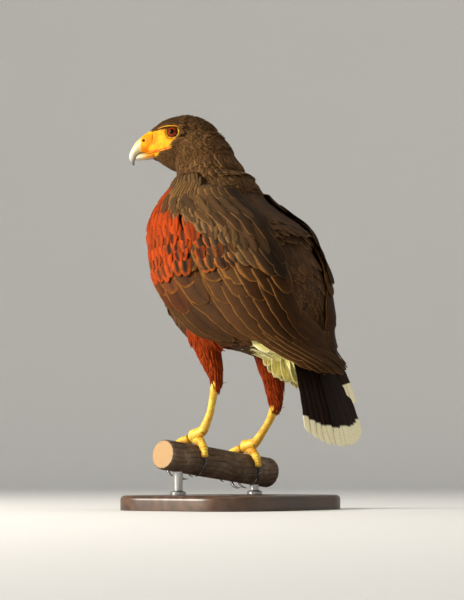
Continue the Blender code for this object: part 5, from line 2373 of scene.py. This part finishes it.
@dataclass
class Perch:
    """Cut length of branch, its axis and places round it."""

    radius: float = 17.0
    length: float = 172.0
    centre: tuple = (0.0, -20.0, 50.0)
    axis: tuple = (0.985, -0.130, 0.115)
    sawn: tuple = (0.94, 0.7, 0.45, 0.2)

    def frame(self) -> tuple[Array, Array, Array]:
        """Axis, upper direction and front of the branch.

        Returns:
            The three unit vectors.
        """
        axis = unit(np.array(self.axis))
        up = unit(np.array([0, 0, 1.0]) - axis * axis[2])
        front = np.cross(up, axis)
        return axis, up, -front if front[1] > 0 else front

    def around(self, turn: Array, along: Array, radius: Array) -> Array:
        """Points at a turn round the branch: 0 is its front, 90 its top.

        Args:
            turn: Turn in degrees.
            along: Place along the branch.
            radius: Distance from its axis.

        Returns:
            Points as rows.
        """
        axis, up, front = self.frame()
        turn, along, radius = np.broadcast_arrays(np.radians(turn), along, radius)
        out = front * np.cos(turn)[..., None] + up * np.sin(turn)[..., None]
        return np.array(self.centre) + axis * along[..., None] + out * radius[..., None]

    def ring(self, place: float) -> tuple[Array, Array]:
        """Ring of cracked bark and its marks.

        Args:
            place: Place along the branch.

        Returns:
            Points of the ring, and how deep each lies in a crack as the first of its marks.
        """
        t = np.radians(turns(180, 360))
        wander = 0.45 * math.sin(place / 19.0) + 0.25 * math.sin(place / 7.3 + 1.0)
        cracks = np.abs(np.sin(9 * t + wander * 2.2 + 0.6 * np.sin(3 * t + place / 31.0)))
        cracks *= 0.7 + 0.3 * np.abs(np.sin(5 * t + place / 11.0))
        broken = 0.5 + 0.5 * np.sin(place / 6.1 + 4.0 * np.sin(2 * t))
        crack = (1 - ease(0.0, 0.34, cracks)) * (0.45 + 0.55 * broken)
        swell = 0.5 + 0.5 * np.sin(2 * t + place / 37.0) * np.cos(place / 29.0)
        edge = 1.2 * (1 - ease(0, 3.0, self.length / 2 - abs(place)))
        radius = self.radius - 0.25 - 1.3 * crack - 0.45 * swell - edge
        return self.around(turns(180, 360), place, radius), np.stack([crack, 0 * t, 0 * t], axis=1)

    def build(self, finish: Material) -> None:
        """Make the branch with its cracked bark and sawn ends, and hand it in.

        Args:
            finish: Material that it wears.
        """
        places = np.linspace(-self.length / 2, self.length / 2, 210)
        rings, marks = (list(rows) for rows in zip(*(self.ring(place) for place in places)))
        first, last = ([end.mean(axis=0) + (end - end.mean(axis=0)) * share for share in self.sawn]
                       for end in (rings[0], rings[-1]))
        grain = [np.tile([0, 1, share], (180, 1)) for share in self.sawn]
        shell = loft(first[::-1] + rings + last, grain[::-1] + marks + grain, ((0, 1, 0), (0, 1, 0)))
        solid("stand_branch", [shell], "bark", finish, "bark", "stand_perch")


@dataclass(frozen=True)
class Toe:
    """Turns of a toe's root and tip round the perch, its spread, its radii and the arc of its claw."""

    root: float
    tip: float
    spread: float
    thick: float
    thin: float
    claw_arc: float


@dataclass
class Legs:
    """Scaled shanks, feet round the perch and curved claws."""

    perch: Perch
    toes: dict = field(default_factory=lambda: {
        "inner": Toe(58, -8, 15, 5.0, 3.4, 62),
        "middle": Toe(60, -34, 1, 4.6, 3.0, 52),
        "outer": Toe(62, -12, -15, 4.2, 2.8, 44),
        "hind": Toe(116, 176, 2, 5.0, 3.4, 66),
    })
    shanks: dict = field(default_factory=lambda: {
        Side.LEFT: (
            (86, 41, -9, 5.4, 5.2),
            (103, 42, 0, 4.3, 4.0),
            (120, 43, 5, 4.4, 4.0),
            (136.6, 43.5, 9, 5.6, 5.0),
        ),
        Side.RIGHT: (
            (73, -42, 2, 5.4, 5.2),
            (86, -42, 13, 4.4, 4.0),
            (99, -42, 22, 4.4, 4.0),
            (111.6, -42, 28, 5.6, 5.0),
        ),
    })
    along: dict = field(default_factory=lambda: {Side.LEFT: 41.0, Side.RIGHT: -42.5})
    gap: float = 0.5
    claw_share: float = 0.66
    claw_lift: float = 2.4
    claw_sink: float = 5.0
    around: int = 28

    def scaled_tube(self, path: Array, radii: Array, pitch: float, relief: float, up: Array) -> Shell:
        """Tube with overlapping scutes over its upper side.

        Args:
            path: Points of its axis.
            radii: Half width and half depth at each.
            pitch: Length of a scute.
            relief: Height of a scute's edge.
            up: Direction that the scutes face.

        Returns:
            The tube, marked with its scutes and the grooves between them.
        """
        steps = np.concatenate([[0], np.cumsum(np.linalg.norm(np.diff(path, axis=0), axis=1))])
        plate = ease(-0.1, 0.45, np.cos(turns(self.around)))
        phase = (steps / pitch) % 1.0
        bump = relief * (phase - 0.5)
        base = tube(path, radii, self.around, up)
        points = base + unit(base - path[:, None]) * (bump[:, None] * plate[None])[..., None]
        groove = (1 - ease(0.0, 0.16, phase))[:, None] * plate[None]
        marks = np.stack([np.broadcast_to(plate, groove.shape), groove, np.zeros_like(groove)], axis=-1)
        return loft(points, marks)

    def shank(self, side: Side, finish: Material) -> None:
        """Make a shank and hand it in.

        Args:
            side: Side of the bird.
            finish: Material that it wears.
        """
        rows = self.shanks[side]
        heights = np.linspace(rows[-1][0] + 4.0, rows[0][0] - 1.5, 130)
        x, y, wide, deep = np.array([through(rows, height) for height in heights]).T
        path = np.column_stack([x, y, heights])
        front = np.array([0.25 * side.value, -1, 0.2])
        shell = self.scaled_tube(path, np.column_stack([wide, deep]), 3.6, 0.55, front)
        solid("shank_" + side.word, [shell], "scale", finish, "skin_yellow", "tarsus_" + side.word)

    def toe_path(self, toe: Toe, side: Side, steps: int) -> tuple[Array, Array]:
        """Axis and radii of a toe, swollen over its pads.

        Args:
            toe: The toe.
            side: Side of the bird.
            steps: Stations along it.

        Returns:
            Points and radii as rows.
        """
        share = np.linspace(0, 1, steps)
        turn = toe.root + (toe.tip - toe.root) * share
        radius = toe.thick + (toe.thin - toe.thick) * share
        pads = 0.4 * np.sin(share * math.pi * 5)
        place = self.along[side] + side.value * toe.spread * (0.25 + 0.75 * share)
        path = self.perch.around(turn, place, self.perch.radius + self.gap + radius)
        return path, np.stack([radius + pads, radius + 0.7 * pads], axis=1)

    def foot(self, side: Side, finish: Material) -> None:
        """Make a foot with its four toes and hand it in.

        Args:
            side: Side of the bird.
            finish: Material that it wears.
        """
        height, x, y, _, _ = self.shanks[side][0]
        ankle = np.array([x, y, height])
        rest = self.perch.around(84, self.along[side], self.perch.radius + self.gap + 6.2).reshape(3)
        share = np.linspace(0, 1, 30)
        heart = ankle + (rest - ankle) * share[:, None]
        size = np.interp(share, [0, 0.5, 0.8, 1], [5.3, 6.5, 7.4, 5.0])
        shells = [self.scaled_tube(heart, np.stack([size, size], axis=1), 3.4, 0.5, np.array([0, -1, 0.4]))]
        for toe in self.toes.values():
            path, radii = self.toe_path(toe, side, 60)
            start = rest + (path[0] - rest) * 0.35
            lead = start + (path[0] - start) * np.linspace(0, 1, 8)[:-1, None]
            path = np.concatenate([lead, path])
            radii = np.concatenate([np.repeat(radii[:1], 7, axis=0), radii])
            radii[-5:] *= np.array([0.98, 0.94, 0.86, 0.74, 0.5])[:, None]
            away = unit(path[len(path) // 2] - self.perch.around(0, self.along[side], 0.0).reshape(3))
            shells.append(self.scaled_tube(path, radii, 2.9, 0.5, away))
        solid("scaled_foot_" + side.word, shells, "scale", finish, "skin_yellow", "foot_" + side.word)

    def claw(self, name: str, side: Side, finish: Material) -> None:
        """Make a claw that carries its toe's line on round the perch, and hand it in.

        Args:
            name: Name of its toe.
            side: Side of the bird.
            finish: Material that it wears.
        """
        toe = self.toes[name]
        sense = -1 if toe.tip < toe.root else 1
        share = np.linspace(0, 1, 26)
        turn = toe.tip + sense * (toe.claw_arc * share - self.claw_sink * (1 - share))
        radius = toe.thin * self.claw_share * (1 - share) ** 0.8 + 0.22
        out = self.perch.radius + self.gap + toe.thin + 0.4 + self.claw_lift * np.sin(math.pi * share)
        place = self.along[side] + side.value * toe.spread * (1 + 0.12 * share)
        path = self.perch.around(turn, place, out)
        away = unit(path[12] - np.array(self.perch.centre) - self.perch.frame()[0] * self.along[side])
        rings = tube(path, np.stack([radius * 0.86, radius * 1.04], axis=1), 18, away)
        top = np.clip(np.cos(turns(18)), 0, 1)
        grow = [np.stack([np.full(18, own), top, np.zeros(18)], axis=1) for own in share]
        shell = loft(rings, grow, ((0, 0, 0), (1, 0, 0)))
        word = name + "_" + side.word
        solid("talon_" + word, [shell], "grow", finish, "horn_dark", "claw_" + word)

    def build(self, skin: Material, horn: Material) -> None:
        """Make both legs.

        Args:
            skin: Material of shanks and toes.
            horn: Material of the claws.
        """
        for side in Side:
            self.shank(side, skin)
            self.foot(side, skin)
            for name in self.toes:
                self.claw(name, side, horn)


@dataclass
class Stand:
    """Base and rods under the perch."""

    length: float = 236.0
    width: float = 172.0
    height: float = 16.0
    corner: float = 46.0
    rounding: float = 5.0
    rod_radius: float = 5.0
    rod_offsets: tuple = (("stand_rod_left", 62.0), ("stand_rod_right", -62.0))
    collar_radius: float = 8.5

    def outline(self, less: float) -> Array:
        """Rounded rectangle of the base, drawn in by a distance.

        Args:
            less: How far it is drawn in.

        Returns:
            Points as rows.
        """
        points = []
        for quarter, (sx, sy) in enumerate(((1, 1), (-1, 1), (-1, -1), (1, -1))):
            for angle in np.radians(np.linspace(90 * quarter, 90 * quarter + 90, 17)):
                x = sx * (self.length / 2 - self.corner) + (self.corner - less) * math.cos(angle)
                y = sy * (self.width / 2 - self.corner) + (self.corner - less) * math.sin(angle)
                points.append((x, y))
        return np.array(points)

    def turned(
        self, name: str, rings: list[Array], sharp: float, finish: Material, slot: str, node: str
    ) -> None:
        """Make a piece with sharp rims from level rings and hand it in."""
        piece = solid(name, [loft(rings)], "", finish, slot, node)
        piece.data.set_sharp_from_angle(angle=math.radians(sharp))

    def base(self, finish: Material) -> None:
        """Make the base with its rounded upper rim and a groove round its top, and hand it in.

        Args:
            finish: Material that it wears.
        """
        top = self.height
        round_rim = [
            (self.rounding * (1 - math.cos(angle)), top - self.rounding * (1 - math.sin(angle)))
            for angle in np.radians(np.linspace(12, 90, 7))
        ]
        profile = [(0.6, 0.0), (0.0, 0.6), (0.0, top - self.rounding), *round_rim, (9.0, top), (11.0, top)]
        profile += [(12.0, top - 0.7), (13.4, top - 0.7), (14.4, top), (26.0, top)]
        rings = [np.column_stack([self.outline(less), np.full(68, z)]) for less, z in profile]
        self.turned("stand_plinth", rings, 40, finish, "base_wood", "stand_base")

    def rod(self, name: str, foot: Array, top: float, finish: Material) -> None:
        """Make a rod with a collar at its foot and a cup under the branch, and hand it in.

        Args:
            name: Name of its node.
            foot: Its centre at the base, as x and y.
            top: Height of its upper end.
            finish: Material that it wears.
        """
        low = self.height + 0.3
        r, c = self.rod_radius, self.collar_radius
        profile = (
            (c - 0.5, low), (c, low + 0.5), (c, low + 3.0), (c - 0.8, low + 3.8), (r + 0.5, low + 4.2),
            (r - 0.05, low + 4.8), (r - 0.05, (low + top) / 2), (r - 0.05, top - 0.4), (r - 0.5, top),
        )
        x, y = np.cos(turns(64)), np.sin(turns(64))
        rings = [
            np.column_stack([foot[0] + wide * x, foot[1] + wide * y, np.full(64, z)]) for wide, z in profile
        ]
        self.turned(name.replace("rod", "post"), rings, 35, finish, "steel", name)

    def build(self, perch: Perch, wood: Material, steel: Material) -> None:
        """Make the base and both rods.

        Args:
            perch: The branch.
            wood: Material of the base.
            steel: Material of the rods.
        """
        self.base(wood)
        for name, along in self.rod_offsets:
            foot = np.array(perch.centre) + perch.frame()[0] * along
            self.rod(name, foot, foot[2] - perch.radius + 6.0, steel)


@dataclass
class Studio:
    """Pale floor and backdrop, soft lights and the camera at the photograph's angle."""

    azimuth: float = 125.0
    elevation: float = -4.5
    distance: float = 2.4
    aim_height: float = 0.2297
    picture_height: float = 0.66

    def direction(self) -> Vector:
        """Way from the bird to the camera."""
        a, e = math.radians(self.azimuth), math.radians(self.elevation)
        return Vector((math.sin(a) * math.cos(e), -math.cos(a) * math.cos(e), math.sin(e)))

    def show(self, name: str, data: bpy.types.ID, place: tuple | Vector, way: Vector) -> Piece:
        """Put a camera or a light in the scene, looking one way.

        Args:
            name: Its name.
            data: The camera or light itself.
            place: Where it stands, in metres.
            way: Where it looks.

        Returns:
            What was put there.
        """
        shown = bpy.data.objects.new(name, data)
        shown.location = place
        shown.rotation_euler = way.to_track_quat("-Z", "Y").to_euler()
        bpy.context.scene.collection.objects.link(shown)
        return shown

    def camera(self) -> None:
        """Place the camera."""
        data = bpy.data.cameras.new("camera")
        data.sensor_fit = "VERTICAL"
        data.sensor_height = 24.0
        data.lens = data.sensor_height * self.distance / self.picture_height
        data.dof.use_dof = False
        place = Vector((0, 0, self.aim_height)) + self.direction() * self.distance
        bpy.context.scene.camera = self.show("camera", data, place, -self.direction())

    def light(self, name: str, place: tuple, size: float, power: float, colour: Colour) -> None:
        """Add a soft light that faces the bird.

        Args:
            name: Its name.
            place: Where it stands, in metres.
            size: Its diameter, in metres.
            power: Its power, in watts.
            colour: Its colour.
        """
        data = bpy.data.lights.new(name, "AREA")
        data.shape = "DISK"
        data.size = size
        data.energy = power
        data.color = colour
        self.show(name, data, place, Vector((0, 0, 0.25)) - Vector(place))

    def sweep(self) -> None:
        """Make the floor that curves up into a backdrop behind the bird."""
        shader = Shader("studio_paper", {"Roughness": 0.9, "Base Color": (0.78, 0.78, 0.77, 1)})
        arc = np.radians(np.linspace(10, 90, 9))
        curved = [(3.0 + 1.6 * math.sin(angle), 1.6 * (1 - math.cos(angle))) for angle in arc]
        x, y = np.cos(turns(96)), np.sin(turns(96))
        profile = [(0.6, 0.0), (1.4, 0.0), (3.0, 0.0), *curved, (4.6, 4.5)]
        shell = loft([np.stack([r * x, r * y, np.full(96, z)], axis=1) for r, z in profile])
        faces = [f for f in shell.faces if len(shell.points) - 1 not in f]
        floor = mesh_piece("floor", shell.points / MM, faces, {})
        floor.data.shade_smooth()
        floor.data.materials.append(shader.material)

    def world(self) -> None:
        """Set an even pale surrounding."""
        world = bpy.data.worlds.new("studio")
        bpy.context.scene.world = world
        world.use_nodes = True
        back = world.node_tree.nodes["Background"]
        back.inputs["Color"].default_value = (0.88, 0.89, 0.90, 1)
        back.inputs["Strength"].default_value = 0.32

    def build(self) -> None:
        """Make the whole studio."""
        self.camera()
        self.world()
        self.sweep()
        self.light("key", (1.95, -1.25, 0.95), 0.6, 102.0, (1.0, 0.93, 0.82))
        self.light("fill", (2.4, 1.5, 0.5), 2.0, 4.5, (0.97, 0.97, 1.0))
        self.light("top", (-0.3, 0.3, 2.6), 1.6, 15.0, (1.0, 0.97, 0.92))


def main() -> None:
    """Build the studio, then the bird from its skin outwards, then what it stands on."""
    logging.basicConfig(level=logging.INFO, format="%(message)s")
    bpy.context.scene.view_settings.view_transform = "Standard"
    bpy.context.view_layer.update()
    Studio().build()
    plumage = PlumageFinish().material()
    form = Skin()
    skin = form.build()
    form.dress(skin)
    BodyPlumage().build(skin, FeatherBed(), plumage)
    flesh = ("head", "neck", "torso", "thigh_left", "thigh_right")
    finish_piece(skin, GroundFinish().material(), "plumage_dark", *flesh)
    Wings().build(plumage)
    Tail().build(plumage)
    cere = WaxFinish("cere_wax", (0.74, 0.24, 0.002), (0.78, 0.40, 0.005), 120.0)
    gape = WaxFinish("gape_skin", (0.70, 0.13, 0.003), (0.78, 0.30, 0.004))
    rim = WaxFinish("eye_rim", (0.34, 0.17, 0.006), (0.50, 0.30, 0.02))
    horn = BillFinish("bill_horn", (
        (0.0, (0.62, 0.46, 0.17)),
        (0.3, (0.66, 0.56, 0.32)),
        (0.6, (0.50, 0.49, 0.42)),
        (0.82, (0.18, 0.17, 0.17)),
        (1.0, (0.035, 0.03, 0.032)),
    ))
    jaw = BillFinish("jaw_horn", (
        (0.0, (0.70, 0.20, 0.008)),
        (0.24, (0.74, 0.34, 0.02)),
        (0.5, (0.62, 0.50, 0.26)),
        (0.85, (0.42, 0.38, 0.30)),
        (1.0, (0.10, 0.09, 0.085)),
    ))
    Bill().build(horn.material(), jaw.material(), cere.material(), gape.material())
    Eyes(form).build(EyeFinish().material(), rim.material())
    perch = Perch()
    Legs(perch).build(ScaleFinish().material(), ClawFinish().material())
    perch.build(BarkFinish().material())
    Stand().build(perch, WoodFinish().material(), SteelFinish().material())


if __name__ == "__main__":
    main()
